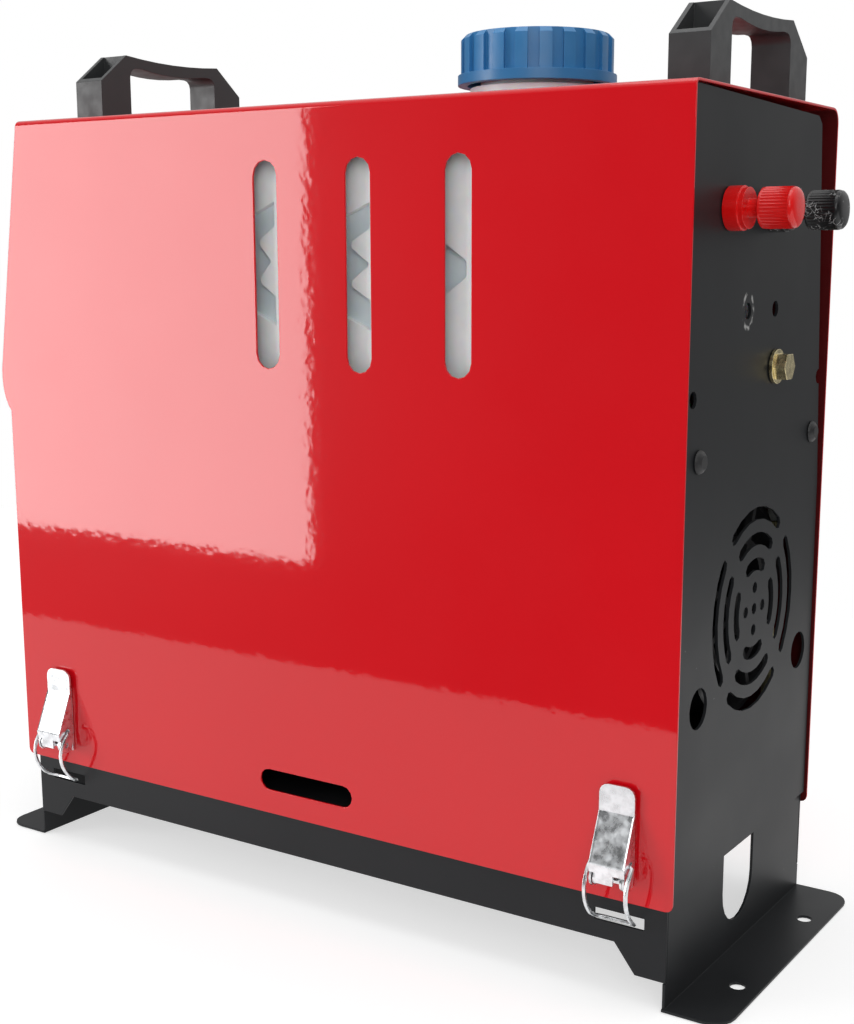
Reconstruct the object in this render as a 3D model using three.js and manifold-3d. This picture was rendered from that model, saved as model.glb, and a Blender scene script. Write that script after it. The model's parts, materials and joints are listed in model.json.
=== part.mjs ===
import * as THREE from "three";
import { mergeVertices } from "three/addons/utils/BufferGeometryUtils.js";
import Module from "manifold-3d";

// A portable diesel air heater. Millimetres, +Z up, origin on the floor under the middle of the
// case. The front faces -Y, the air inlet and the battery terminals +X, the hot-air outlet -X.

// ---- Sheet metal and clearances ----
const caseSheet = 1.2;
const coverSheet = 1;
const seatGap = 0.3; // between pieces that rest on, or pass through, one another
const bite = 1; // how far a cutter or a joined detail runs past the face that it meets

// ---- Case: tray, feet and end panels ----
const caseLength = 346.6; // over the outer faces of the end panels
const caseDepth = 142.4; // over the outer faces of the aprons
const panelEdgeRoom = 0.7; // between an end panel's edge and the cover
const trayTop = 48.2;
const trayTuck = 0.1; // of the floor's edges behind the aprons' faces
const apronBottom = 23.4;
const legBottom = 11.7;
const legWidth = 13.2;
const legChamfer = 9.1;
const latchSlotWidth = 21.5;
const latchSlotTop = 35.9;
const latchSlotBottom = 31.1;
const panelBottom = 46.9;
const panelTop = 343.2;
const panelFrontTop = 346; // of the right panel, whose top edge falls towards the back
const panelCornerRadius = 3;
const backEdgeBend = 190; // height where the right panel's back edge starts to lean
const backEdgeTop = 55; // y of that edge at the panel's top
const backEdgeMiddle = 69.5; // y of that edge at its bend
const footWebTop = 62;
const footReach = 24; // of a foot's flange beyond the end panel
const footDepth = 144;
const footCornerRadius = 10;
const footSlotWidth = 31.4;
const footSlotBottom = 12.5;
const footSlotTop = 50;
const footSlotShift = -1.1; // y of the slot's middle
const footHole = 6.5;
const footHoleInset = 9.4;
const footHoleSpacing = 75;

// ---- Slanted upper part of the left end ----
const stepStart = 212.5;
const stepEnd = 230;
const stepOut = 4.9;
const slantTilt = 8.9; // degrees
const controllerHeight = 288;

// ---- Cover ----
const coverTop = 347.5;
const coverBottom = 41.5;
const coverBend = 2.5;
const coverBackBend = 6;
const coverOverhangRight = 1.2;
const coverOverhangLeft = 4.5;
const coverCornerRadius = 3;
const coverStepRise = 2.9; // the cover's slanted edge starts this far above the panel's
const coverStepBulge = 5.6;
const sightSlotWidth = 12.2;
const sightSlotTop = 325.4;
const sightSlotBottom = 240.1;
const sightSlotPitch = 47.4;
const sightSlotMiddle = 29.9;
const lowSlotLength = 50.6;
const lowSlotHeight = 9.6;
const lowSlotX = -1.9;
const lowSlotZ = 57.3;
const capHole = 70;

// ---- Handles ----
const handleLength = 96.6;
const handleWidth = 16.5;
const handleRise = 30.7;
const handleLeg = 18.9;
const handleChamferRun = 16.6;
const handleChamferRise = 12.7;
const handleWall = 2;
const handleFloor = 4.2;
const gripThickness = 5.5;
const gripBow = 1.6;
const gripCorner = 4;
const handleInsetRight = 6;
const handleInsetLeft = 15.4;

// ---- Draw latches, measured from the cover's face (y) and from the floor (z) ----
const latchInset = 21.8; // of a latch's middle from the case's end
const latchPlateWidth = 13;
const latchPlateTop = 80;
const latchPlateBottom = 49;
const latchSheet = 1;
const latchPivotOut = 6.5;
const latchPivotZ = 53;
const latchPin = 2;
const latchEar = 4; // radius of the lever's ear round the pivot
const latchEarRoom = 0.5; // by which the base's ear is smaller
const latchEarTop = 57.5;
const leverWidth = 15.2;
const leverTop = 89.2;
const leverBendZ = 78.3;
const leverRest = 1.8; // from the cover to the lever's flat tongue
const leverNoseOut = 10.9;
const leverNoseZ = 59;
const leverFaceZ = 55.6; // lower edge of the lever's full width
const leverCurl = 0.5; // how far the face turns back in below its nose
const leverTabZ = 51.6;
const leverTabWidth = 7.6;
const leverTabShift = -1.2;
const leverCorner = 4;
const bailPinOut = 5.5;
const bailPinZ = 59.5;
const bailWire = 1.9;
const bailLegX = 8.85;
const bailBow = 11.6; // furthest reach of the bail from the cover
const bailEndX = 6.7;

// ---- Tank, shelf and cap ----
const shelfTop = 223.2;
const shelfDepth = 135;
const shelfLip = 10;
const shelfEndFlange = 16;
const tankHeight = 109.5;
const tankEndRoom = 24.1; // between the tank and the right end panel
const tankSlantRoom = 40.1; // between the tank and the foot of the left end panel
const tankWall = 3;
const tankCorner = 14;
const capX = 70;
const neckOuter = 55.6;
const neckBore = 42;
const neckThread = 47; // of the neck inside the cap
const neckShoulder = 1; // between the neck's wide foot and the cap's skirt
const neckRise = 23.5; // of the neck's rim above the cover
const gasketThickness = 1.6;
const gasketWidth = 4;
const capBore = 58;
const capOuter = 63.5;
const capFlange = 66;
const capFlangeHeight = 4.1;
const capDepth = 15; // of the skirt below the neck's rim
const capCeiling = 2.8;
const capRibs = 20;
const capRibWidth = 5.3;
const capGroove = 2;
const capTopBevel = 2;
const nippleOuter = 6;
const nippleLength = 6;

// ---- Heater unit, measured from its own axis ----
const heaterY = 1.5;
const heaterZ = 146;
const casingEndRoom = 23.3; // between the casing and the case's end
const casingWidth = 118;
const casingHeight = 120;
const casingWall = 2.5;
const casingCorner = 26;
const casingOutlet = 72;
const casingInlet = 84;
const exchangerLeft = -128;
const exchangerRight = 30;
const exchangerRoot = 37; // radius under the fins
const exchangerFins = 20;
const finTip = 42;
const finWidth = 3;
const exchangerBore = 62;
const exchangerEndWall = 6;
const footBlockLeft = -45;
const footBlockRight = 25;
const footBlockWidth = 59;
const airPortX = 8;
const exhaustPortX = -25;
const portBore = 20;
const airPortTop = -46;
const fuelNippleX = 0;
const fuelNippleZ = 68; // above the floor
const fuelNippleReach = 5;
const hoseOuter = 5;
const burnerOuter = 54;
const burnerWall = 1.5;
const burnerLeft = -60;
const burnerFlange = 2.7;
const plugX = 15;
const plugOuter = 8;
const plugTip = 14;
const plugTop = 54;
const plugHex = 12;
const plugHexHeight = 5.7;
const blowerHousingOuter = 92;
const blowerHousingBore = 76;
const blowerHousingEnd = 62;
const blowerEndWall = 4;
const motorOuter = 50;
const motorEndRoom = 6; // between the motor and the hot-air fan
const shaftOuter = 6;
const shaftLeft = 36;
const shaftEndRoom = 4; // between the shaft's end and the casing's
const combustionFanOuter = 70;
const combustionFanLeft = 38;
const combustionFanWidth = 14;
const combustionVanes = 12;
const fanDisc = 3;
const fanVane = 1.6;
const hotFanOuter = 86;
const hotFanEndRoom = 8; // between the fan and the casing's end
const hotFanWidth = 24;
const hotFanHub = 30;
const hotFanBlades = 9;
const fanBlade = 2;
const guardOuter = 92;
const guardRoom = 6.1; // between the guard and the right end panel
const guardSpokes = 8;
const guardHub = 24;
const guardBar = 3;
const outletOuter = 75;
const outletWall = 2.5;
const outletCollar = 90;
const outletCollarThickness = 3;
const outletBars = 3;
const outletBarPitch = 18;
const outletBar = 2;
const outletBarDepth = 3;
const outletPassing = 3; // of the end panel's hole, wider than the ring
const boardLength = 44;
const boardWidth = 76;
const boardLeft = 70;
const boardThickness = 1.6;
const boardZ = 34;
const stubBottom = 18;
const airStubOuter = 24;
const exhaustStubOuter = 20;
const stubWall = 2;

// ---- Fuel pump and filter ----
const pumpY = 48;
const pumpZ = 66;
const pumpBody = 24;
const pumpBodyLength = 60;
const pumpNeckLength = 14;
const pumpNeck = 12;
const pumpNippleLength = 8;
const pumpEndRoom = 24.1; // between the pump's nipple and the right end panel
const pumpMountOuter = 32;
const pumpMountShift = 20; // of the mount along the pump's body
const pumpMountLength = 20;
const pumpMountFoot = 3.5;
const filterInset = 11.6; // of the filter's axis from the right end panel
const filterY = 52;
const filterOuter = 18;
const filterBottom = 180;
const filterTop = 206;
const filterNipple = 6;

// ---- Fittings on the right end panel ----
const terminalZ = 304.2;
const terminalRedY = -37.6;
const terminalBlackY = 5.3;
const terminalCollar = 16.4;
const terminalStep = 1.2; // of the collar's outer ring
const terminalRing = 2;
const terminalCollarLength = 7.6;
const terminalStud = 7;
const terminalInnerLength = 12;
const knobOuter = 15;
const knobLength = 14;
const knobRoof = 3;
const knobFlutes = 12;
const redKnobReach = 27; // of the red knob's end beyond the panel
const endReach = 29; // of the black knob, and of the hot-air outlet at the other end
const grilleRings = [18.4, 28.9, 39.4]; // mean radii
const grilleSlotWidth = 5.2;
const grilleBridge = 7.8; // metal left between the ends of two slots
const grilleHole = 4.8;
const grilleHoleRadius = 8.8;
const ventHole = 16.4;
const ventHoleSpacing = 106;
const ventHoleZ = 117;
const rivetZ = 212.8;
const rivetSpacing = 117;
const rivetHead = 9.3;
const rivetShank = 5.4;
const rivetRise = 2.2;
const edgeHoleZ = 236;
const edgeHoleSpacing = 130;
const smallHole = 6.5;
const smallHoleZ = 266.3;
const smallHoleLeftY = -16.4;
const smallHoleRightY = 11.7;
const boltY = 13;
const boltZ = 243.5;
const boltShank = 6;
const boltFlange = 14;
const boltHex = 10; // across flats
const boltHeadHeight = 6.4;
const fastenerLength = 8;

// ---- Controller on the slanted panel, measured on the panel's face ----
const bezelLength = 116;
const bezelHeight = 52;
const bezelThickness = 3.5;
const bezelCorner = 7;
const controllerBodyLength = 108;
const controllerBodyHeight = 46;
const controllerBodyDepth = 14;
const screenLength = 62;
const screenHeight = 30;
const screenThickness = 1.5;
const buttonOuter = 9;
const buttonY = 44;
const buttonZ = 11;
const buttonTravel = 0.8;
const buttonThickness = 3;

// ---- Leads ----
const leadOuter = 4;
const sleeveOuter = 6.6;
const harnessOuter = 5;
const leadInset = 11.1; // of the power lead from the right end panel
const leadY = -16;
const leadRunZ = 214;
const leadDropX = 100;
const harnessDropX = 90;
const harnessDropY = 20;

// ---- Places that follow from the sizes ----
const halfLength = caseLength / 2;
const halfDepth = caseDepth / 2;
const panelInner = halfLength - caseSheet;
const webOuter = panelInner - seatGap;
const webInner = webOuter - caseSheet;
const apronInner = halfDepth - caseSheet;
const coverInner = halfDepth + seatGap;
const coverOuter = coverInner + coverSheet;
const panelHalf = coverInner - panelEdgeRoom;
const trayBottom = trayTop - caseSheet;
const coverRight = halfLength + coverOverhangRight;
const coverLeft = -halfLength - coverOverhangLeft;
const slant = THREE.MathUtils.degToRad(slantTilt);
const slantFootX = -halfLength - stepOut;
const capZ = coverTop + neckRise;
const tankRight = panelInner - tankEndRoom;
const tankLeft = -panelInner + tankSlantRoom;
const tankBottom = shelfTop + seatGap;
const tankTop = tankBottom + tankHeight;
const tankHalf = shelfDepth / 2 - caseSheet - seatGap;
const casingHalf = halfLength - casingEndRoom;
const latchX = halfLength - latchInset;
const hotFanLeft = casingHalf - hotFanEndRoom - hotFanWidth;
const motorEnd = hotFanLeft - motorEndRoom;
const shaftRight = casingHalf - shaftEndRoom;
const pumpLeft = panelInner - pumpEndRoom - pumpNippleLength - pumpNeckLength - pumpBodyLength;
const pumpMountLeft = pumpLeft + pumpMountShift;
const filterX = panelInner - filterInset;
const leadX = panelInner - leadInset;
const casingRoof = casingHeight / 2;
const handleRightX = coverRight - handleInsetRight - handleWidth / 2;
const coverSlantTopX = slantX(coverTop) - coverOverhangLeft - coverStepRise * Math.tan(slant);
const handleLeftX = coverSlantTopX + handleInsetLeft + handleWidth / 2;
const terminalFace = halfLength + seatGap;
const leverLip = leverNoseOut - leverCurl;

// x of the slanted panel's outer face at the height z.
function slantX(z) {
  return slantFootX + (z - stepEnd) * Math.tan(slant);
}

// ---- Looks ----
const redEnamel = { color: 0xa80e1a, roughness: 0.22, metalness: 0 };
const blackPowder = { color: 0x18191b, roughness: 0.55, metalness: 0.1 };
const blackPlastic = { color: 0x1d1e20, roughness: 0.5, metalness: 0 };
const darkPlastic = { color: 0x2b2c2e, roughness: 0.6, metalness: 0 };
const zinc = { color: 0xc9ccce, roughness: 0.3, metalness: 1 };
const yellowZinc = { color: 0xb9a56a, roughness: 0.35, metalness: 1 };
const tankPlastic = { color: 0xd9dbd8, roughness: 0.45, metalness: 0 };
const bluePlastic = { color: 0x2f6aa8, roughness: 0.45, metalness: 0 };
const redPlastic = { color: 0xc8201a, roughness: 0.4, metalness: 0 };
const castAluminium = { color: 0x9b9d9e, roughness: 0.5, metalness: 0.9 };
const steel = { color: 0x8f9193, roughness: 0.35, metalness: 1 };
const rubber = { color: 0x161616, roughness: 0.8, metalness: 0 };
const boardGreen = { color: 0x1f5a36, roughness: 0.5, metalness: 0 };
const screenGlass = { color: 0x10181c, roughness: 0.1, metalness: 0 };
const fuelHose = { color: 0xb9b48c, roughness: 0.4, metalness: 0 };
const filterPlastic = { color: 0xe4e6e2, roughness: 0.3, metalness: 0 };

// ---- Solids from three.js geometry ----
const wasm = await Module();
wasm.setup();

function toSolid(geometry) {
  const bare = geometry.index ? geometry.toNonIndexed() : geometry;
  bare.deleteAttribute("normal");
  bare.deleteAttribute("uv");
  const merged = mergeVertices(bare, 1e-4);
  const vertProperties = merged.attributes.position.array;
  const triVerts = new Uint32Array(merged.index.array);
  return new wasm.Manifold(new wasm.Mesh({ numProp: 3, vertProperties, triVerts }));
}

function toGeometry(solid) {
  const { vertProperties, triVerts } = solid.getMesh();
  const geometry = new THREE.BufferGeometry();
  geometry.setAttribute("position", new THREE.BufferAttribute(vertProperties, 3));
  geometry.setIndex(new THREE.BufferAttribute(triVerts, 1));
  return geometry;
}

function piece(parent, name, solid, look) {
  const mesh = new THREE.Mesh(toGeometry(solid), new THREE.MeshStandardMaterial(look));
  mesh.name = name;
  parent.add(mesh);
}

function joined(first, ...others) {
  return others.reduce((whole, other) => whole.add(other), first);
}

function cut(body, ...cutters) {
  return cutters.reduce((left, cutter) => left.subtract(cutter), body);
}

// ---- Outlines in a plane (u, v) ----
function arc(u, v, radius, fromDegrees, toDegrees, steps) {
  return Array.from({ length: steps + 1 }, (_, i) => {
    const a = THREE.MathUtils.degToRad(fromDegrees + ((toDegrees - fromDegrees) * i) / steps);
    return new THREE.Vector2(u + radius * Math.cos(a), v + radius * Math.sin(a));
  });
}

function circle(u, v, radius, sides) {
  return arc(u, v, radius, 0, 360, sides).slice(0, -1);
}

function polygon(...points) {
  return points.map(([u, v]) => new THREE.Vector2(u, v));
}

function rectangle(u0, u1, v0, v1) {
  return polygon([u0, v0], [u1, v0], [u1, v1], [u0, v1]);
}

function roundedRectangle(u0, u1, v0, v1, radius, steps = 4) {
  return [
    ...arc(u1 - radius, v0 + radius, radius, -90, 0, steps),
    ...arc(u1 - radius, v1 - radius, radius, 0, 90, steps),
    ...arc(u0 + radius, v1 - radius, radius, 90, 180, steps),
    ...arc(u0 + radius, v0 + radius, radius, 180, 270, steps),
  ];
}

function uprightObround(u, v0, v1, width, steps = 6) {
  const r = width / 2;
  return [...arc(u, v1 - r, r, 0, 180, steps), ...arc(u, v0 + r, r, 180, 360, steps)];
}

function flatObround(u, v, length, height, steps = 6) {
  const r = height / 2;
  const run = length / 2 - r;
  return [...arc(u + run, v, r, -90, 90, steps), ...arc(u - run, v, r, 90, 270, steps)];
}

// A slot bent along a circle round (u, v), with round ends.
function arcSlot(u, v, radius, width, middleDegrees, halfDegrees, steps = 6) {
  const r = width / 2;
  const ends = [middleDegrees - halfDegrees, middleDegrees + halfDegrees];
  const [start, stop] = ends.map((a) => arc(u, v, radius, a, a, 1)[0]);
  const cap = 3;
  return [
    ...arc(u, v, radius + r, ends[0], ends[1], steps),
    ...arc(stop.x, stop.y, r, ends[1], ends[1] + 180, cap).slice(1, -1),
    ...arc(u, v, radius - r, ends[1], ends[0], steps),
    ...arc(start.x, start.y, r, ends[0] + 180, ends[0] + 360, cap).slice(1, -1),
  ];
}

// ---- Solids along an axis: an outline lies in (y, z), (x, z) or (x, y) ----
const turnTo = {
  x: new THREE.Matrix4().set(0, 0, 1, 0, 1, 0, 0, 0, 0, 1, 0, 0, 0, 0, 0, 1),
  y: new THREE.Matrix4().set(1, 0, 0, 0, 0, 0, -1, 0, 0, 1, 0, 0, 0, 0, 0, 1),
  z: new THREE.Matrix4(),
};

function prism(axis, outline, from, to, holes = []) {
  const shape = new THREE.Shape(outline);
  const geometry = new THREE.ExtrudeGeometry(shape, { depth: to - from, bevelEnabled: false });
  geometry.translate(0, 0, axis === "y" ? -to : from);
  geometry.applyMatrix4(turnTo[axis]);
  return cut(toSolid(geometry), ...holes.map((hole) => prism(axis, hole, from - bite, to + bite)));
}

function box(x0, x1, y0, y1, z0, z1) {
  return prism("z", rectangle(x0, x1, y0, y1), z0, z1);
}

function rod(axis, u, v, diameter, from, to, sides = 24) {
  return prism(axis, circle(u, v, diameter / 2, sides), from, to);
}

function pipe(axis, u, v, outer, inner, from, to, sides = 32) {
  const hole = circle(u, v, inner / 2, sides);
  return prism(axis, circle(u, v, outer / 2, sides), from, to, [hole]);
}

const spinTo = {
  x: new THREE.Matrix4().set(0, 1, 0, 0, 0, 0, 1, 0, 1, 0, 0, 0, 0, 0, 0, 1),
  z: new THREE.Matrix4().set(0, 0, 1, 0, 1, 0, 0, 0, 0, 1, 0, 0, 0, 0, 0, 1),
};

// A profile of [radius, height] points turned about the axis through the middle.
function turned(axis, profile, sides = 24) {
  const points = polygon(...profile);
  if (THREE.ShapeUtils.area(points) < 0) points.reverse();
  if (points.at(-1).x > 0) points.push(points[0].clone());
  return toSolid(new THREE.LatheGeometry(points, sides).applyMatrix4(spinTo[axis]));
}

// A round rod bent through a row of points.
function bentRod(points, diameter, sides, steps) {
  const route = points.map(([x, y, z]) => new THREE.Vector3(x, y, z));
  const extrudePath = new THREE.CatmullRomCurve3(route, false, "centripetal");
  const section = new THREE.Shape(circle(0, 0, diameter / 2, sides));
  return toSolid(new THREE.ExtrudeGeometry(section, { steps, extrudePath, bevelEnabled: false }));
}

function hexagon(u, v, acrossFlats) {
  return circle(u, v, acrossFlats / Math.sqrt(3), 6);
}

const heater = new THREE.Group();
heater.name = "diesel_air_heater";

// ---- Cover: one folded sheet, front, top and back ----
function coverOutline() {
  const r = coverCornerRadius;
  const slantStart = stepEnd + coverStepRise;
  const slantStartX = slantFootX - coverOverhangLeft;
  const bulge = new THREE.QuadraticBezierCurve(
    new THREE.Vector2(coverLeft, stepStart + bite),
    new THREE.Vector2(coverLeft - coverStepBulge, (stepStart + slantStart) / 2 - coverStepRise),
    new THREE.Vector2(slantStartX, slantStart),
  );
  return [
    ...arc(coverLeft + r, coverBottom + r, r, 180, 270, 3),
    ...arc(coverRight - r, coverBottom + r, r, 270, 360, 3),
    ...polygon([coverRight, coverTop], [coverSlantTopX, coverTop]),
    ...bulge.getPoints(6).reverse(),
  ];
}

function coverSection() {
  const front = (radius) =>
    arc(-coverOuter + coverBend, coverTop - coverBend, radius, 180, 90, 4);
  const back = (radius) =>
    arc(coverOuter - coverBackBend, coverTop - coverBackBend, radius, 90, 0, 5);
  return [
    new THREE.Vector2(-coverOuter, coverBottom),
    ...front(coverBend),
    ...back(coverBackBend),
    new THREE.Vector2(coverOuter, coverBottom),
    new THREE.Vector2(coverInner, coverBottom),
    ...back(coverBackBend - coverSheet).reverse(),
    ...front(coverBend - coverSheet).reverse(),
    new THREE.Vector2(-coverInner, coverBottom),
  ];
}

function makeCover() {
  const folded = prism("x", coverSection(), coverLeft - coverStepBulge - bite, coverRight + bite);
  const sheet = folded.intersect(prism("y", coverOutline(), -coverOuter - bite, coverOuter + bite));
  const sightSlots = [-1, 0, 1].map((i) => {
    const x = sightSlotMiddle + i * sightSlotPitch;
    const outline = uprightObround(x, sightSlotBottom, sightSlotTop, sightSlotWidth);
    return prism("y", outline, -coverOuter - bite, -coverInner + bite);
  });
  const lowSlot = flatObround(lowSlotX, lowSlotZ, lowSlotLength, lowSlotHeight);
  return cut(
    sheet,
    ...sightSlots,
    prism("y", lowSlot, -coverOuter - bite, -coverInner + bite),
    rod("z", capX, 0, capHole, coverTop - coverSheet - bite, coverTop + bite, 40),
  );
}

// ---- Carrying handle, built round its own middle on the cover's top ----
function makeHandle() {
  const end = handleLength / 2;
  const legInner = end - handleLeg;
  const shoulder = end - handleChamferRun;
  const bow = (y, z) => {
    const dip = new THREE.QuadraticBezierCurve(
      new THREE.Vector2(-y, z),
      new THREE.Vector2(0, z - 2 * gripBow),
      new THREE.Vector2(y, z),
    );
    return dip.getPoints(6);
  };
  const under = handleRise - gripThickness;
  const side = [
    ...polygon([-end, 0], [-end, handleRise - handleChamferRise]),
    ...bow(shoulder, handleRise),
    ...polygon([end, handleRise - handleChamferRise], [end, 0], [legInner, 0]),
    ...arc(legInner - gripCorner, under - gripCorner, gripCorner, 0, 90, 3),
    ...bow(legInner - 2 * gripCorner, under).reverse(),
    ...arc(gripCorner - legInner, under - gripCorner, gripCorner, 90, 180, 3),
    ...polygon([-legInner, 0]),
  ];
  const half = handleWidth / 2;
  const bar = prism("x", side, -half, half);
  const inside = half - handleWall;
  const pockets = [-1, 1].map((way) => {
    const near = way * (legInner + handleWall);
    const far = way * (end - handleWall);
    const ys = [Math.min(near, far), Math.max(near, far)];
    return box(-inside, inside, ys[0], ys[1], handleFloor, handleRise + bite);
  });
  return cut(bar, ...pockets);
}

// ---- Draw latch: y = 0 is the cover's face, -y points out, z is the height above the floor ----
function makeLatchBase() {
  const half = latchPlateWidth / 2;
  const plateFace = -seatGap - latchSheet;
  const plate = box(-half, half, plateFace, -seatGap, latchPlateBottom, latchPlateTop);
  const ear = [
    ...polygon([plateFace + latchSheet / 2, latchEarTop]),
    ...arc(-latchPivotOut, latchPivotZ, latchEar - latchEarRoom, 90, 270, 6),
    ...polygon([plateFace + latchSheet / 2, latchPlateBottom]),
  ];
  const earInner = half - seatGap - latchSheet;
  const ears = [-1, 1].map((side) => {
    const xs = [side * earInner, side * (earInner + latchSheet)].sort((a, b) => a - b);
    return prism("x", ear, xs[0], xs[1]);
  });
  const pinEnd = leverWidth / 2 - latchSheet / 2;
  return joined(plate, ...ears, rod("x", -latchPivotOut, latchPivotZ, latchPin, -pinEnd, pinEnd, 8));
}

function makeLever() {
  const half = leverWidth / 2;
  const face = polygon(
    [-leverRest - latchSheet, leverTop],
    [-leverRest - latchSheet, leverBendZ],
    [-leverNoseOut, leverNoseZ],
    [-leverLip, leverFaceZ],
    [-leverLip + latchSheet, leverFaceZ],
    [-leverNoseOut + latchSheet, leverNoseZ],
    [-leverRest, leverBendZ - latchSheet / 2],
    [-leverRest, leverTop],
  );
  const outline = [
    ...polygon([-half, leverFaceZ - bite], [half, leverFaceZ - bite]),
    ...arc(half - leverCorner, leverTop - leverCorner, leverCorner, 0, 90, 4),
    ...arc(leverCorner - half, leverTop - leverCorner, leverCorner, 90, 180, 4),
  ];
  const front = prism("x", face, -half, half).intersect(
    prism("y", outline, -leverNoseOut - bite, 0),
  );
  const tab = rectangle(-leverLip, -leverLip + latchSheet, leverTabZ, leverFaceZ + latchSheet / 2);
  const tabFrom = leverTabShift - leverTabWidth / 2;
  const flange = [
    ...polygon([-leverRest - latchSheet / 2, leverBendZ - latchSheet]),
    ...polygon([-leverNoseOut + latchSheet / 2, leverNoseZ], [-leverLip + latchSheet / 2, leverFaceZ]),
    ...arc(-latchPivotOut, latchPivotZ, latchEar, 180, 360, 6),
    ...polygon([-leverRest + latchSheet / 5, leverNoseZ]),
  ];
  const sides = [-half, half - latchSheet].map((x) => prism("x", flange, x, x + latchSheet));
  const holes = [
    rod("x", -latchPivotOut, latchPivotZ, latchPin + 2 * seatGap, -half - bite, half + bite, 8),
    rod("x", -bailPinOut, bailPinZ, bailWire + 4 * seatGap, -half - bite, half + bite, 8),
  ];
  return cut(
    joined(front, prism("x", tab, tabFrom, tabFrom + leverTabWidth), ...sides),
    ...holes,
  );
}

function makeBail() {
  const hookZ = (latchSlotTop + latchSlotBottom) / 2;
  const hookOut = -(coverOuter - halfDepth - seatGap - bailWire / 2); // in front of the apron
  const corner = 2.2;
  const leg = (x) => [
    [x, -bailPinOut - 0.8, bailPinZ - 0.8],
    [x, -bailPinOut - 4, bailPinZ - 4],
    [x, -bailBow, bailPinZ - 9.5],
    [x, -bailBow + 0.6, bailPinZ - 15],
    [x, -bailBow + 4.1, bailPinZ - 21],
    [x, -bailBow / 3, hookZ + 1.8],
  ];
  const legX = bailLegX;
  const route = [
    [bailEndX, -bailPinOut, bailPinZ],
    [legX - 0.9, -bailPinOut, bailPinZ],
    ...leg(legX),
    [legX - corner, hookOut, hookZ],
    [0, hookOut, hookZ],
    [corner - legX, hookOut, hookZ],
    ...leg(-legX).reverse(),
    [0.9 - legX, -bailPinOut, bailPinZ],
    [-bailEndX, -bailPinOut, bailPinZ],
  ];
  return bentRod(route, bailWire, 5, 30);
}

// ---- Floor tray with its two aprons ----
function makeTray() {
  const chamferStart = webOuter - legWidth;
  const right = [
    [webOuter, legBottom],
    [chamferStart, legBottom],
    [chamferStart - legChamfer, apronBottom],
  ];
  const left = right.map(([x, z]) => [-x, z]);
  const apron = polygon([-webOuter, trayTop], ...left, ...right.reverse(), [webOuter, trayTop]);
  const slot = (x) =>
    rectangle(x - latchSlotWidth / 2, x + latchSlotWidth / 2, latchSlotBottom, latchSlotTop);
  const slots = [slot(-latchX), slot(latchX)];
  const trayEnd = webInner - seatGap;
  const edge = halfDepth - trayTuck;
  const floor = box(-trayEnd, trayEnd, -edge, edge, trayBottom, trayTop);
  const whole = joined(
    floor,
    prism("y", apron, -halfDepth, -apronInner, slots),
    prism("y", apron, apronInner, halfDepth, slots),
  );
  const hole = (x, diameter) =>
    rod("z", x, heaterY, diameter + 2 * seatGap, trayBottom - bite, trayTop + bite, 24);
  return cut(whole, hole(airPortX, airStubOuter), hole(exhaustPortX, exhaustStubOuter));
}

// ---- Folded foot at the +X end ----
function makeFoot() {
  const webHalf = apronInner - seatGap;
  const toeTop = legBottom - seatGap;
  const slotRadius = footSlotWidth / 2;
  const web = polygon(
    [-halfDepth, 0],
    [halfDepth, 0],
    [halfDepth, toeTop],
    [webHalf, toeTop],
    [webHalf, footWebTop],
    [-webHalf, footWebTop],
    [-webHalf, toeTop],
    [-halfDepth, toeTop],
  );
  const slot = [
    ...arc(footSlotShift, footSlotBottom + slotRadius, slotRadius, 180, 360, 10),
    ...polygon([footSlotShift + slotRadius, footSlotTop], [footSlotShift - slotRadius, footSlotTop]),
  ];
  const reach = halfLength + footReach;
  const half = footDepth / 2;
  const r = footCornerRadius;
  const flange = [
    ...polygon([webInner, half], [webInner, -half]),
    ...arc(reach - r, -half + r, r, -90, 0, 5),
    ...arc(reach - r, half - r, r, 0, 90, 5),
  ];
  const holes = [-1, 1].map((side) =>
    circle(reach - footHoleInset, (side * footHoleSpacing) / 2, footHole / 2, 12),
  );
  return joined(
    prism("x", web, webInner, webOuter, [slot]),
    prism("z", flange, 0, caseSheet, holes),
  );
}

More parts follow.
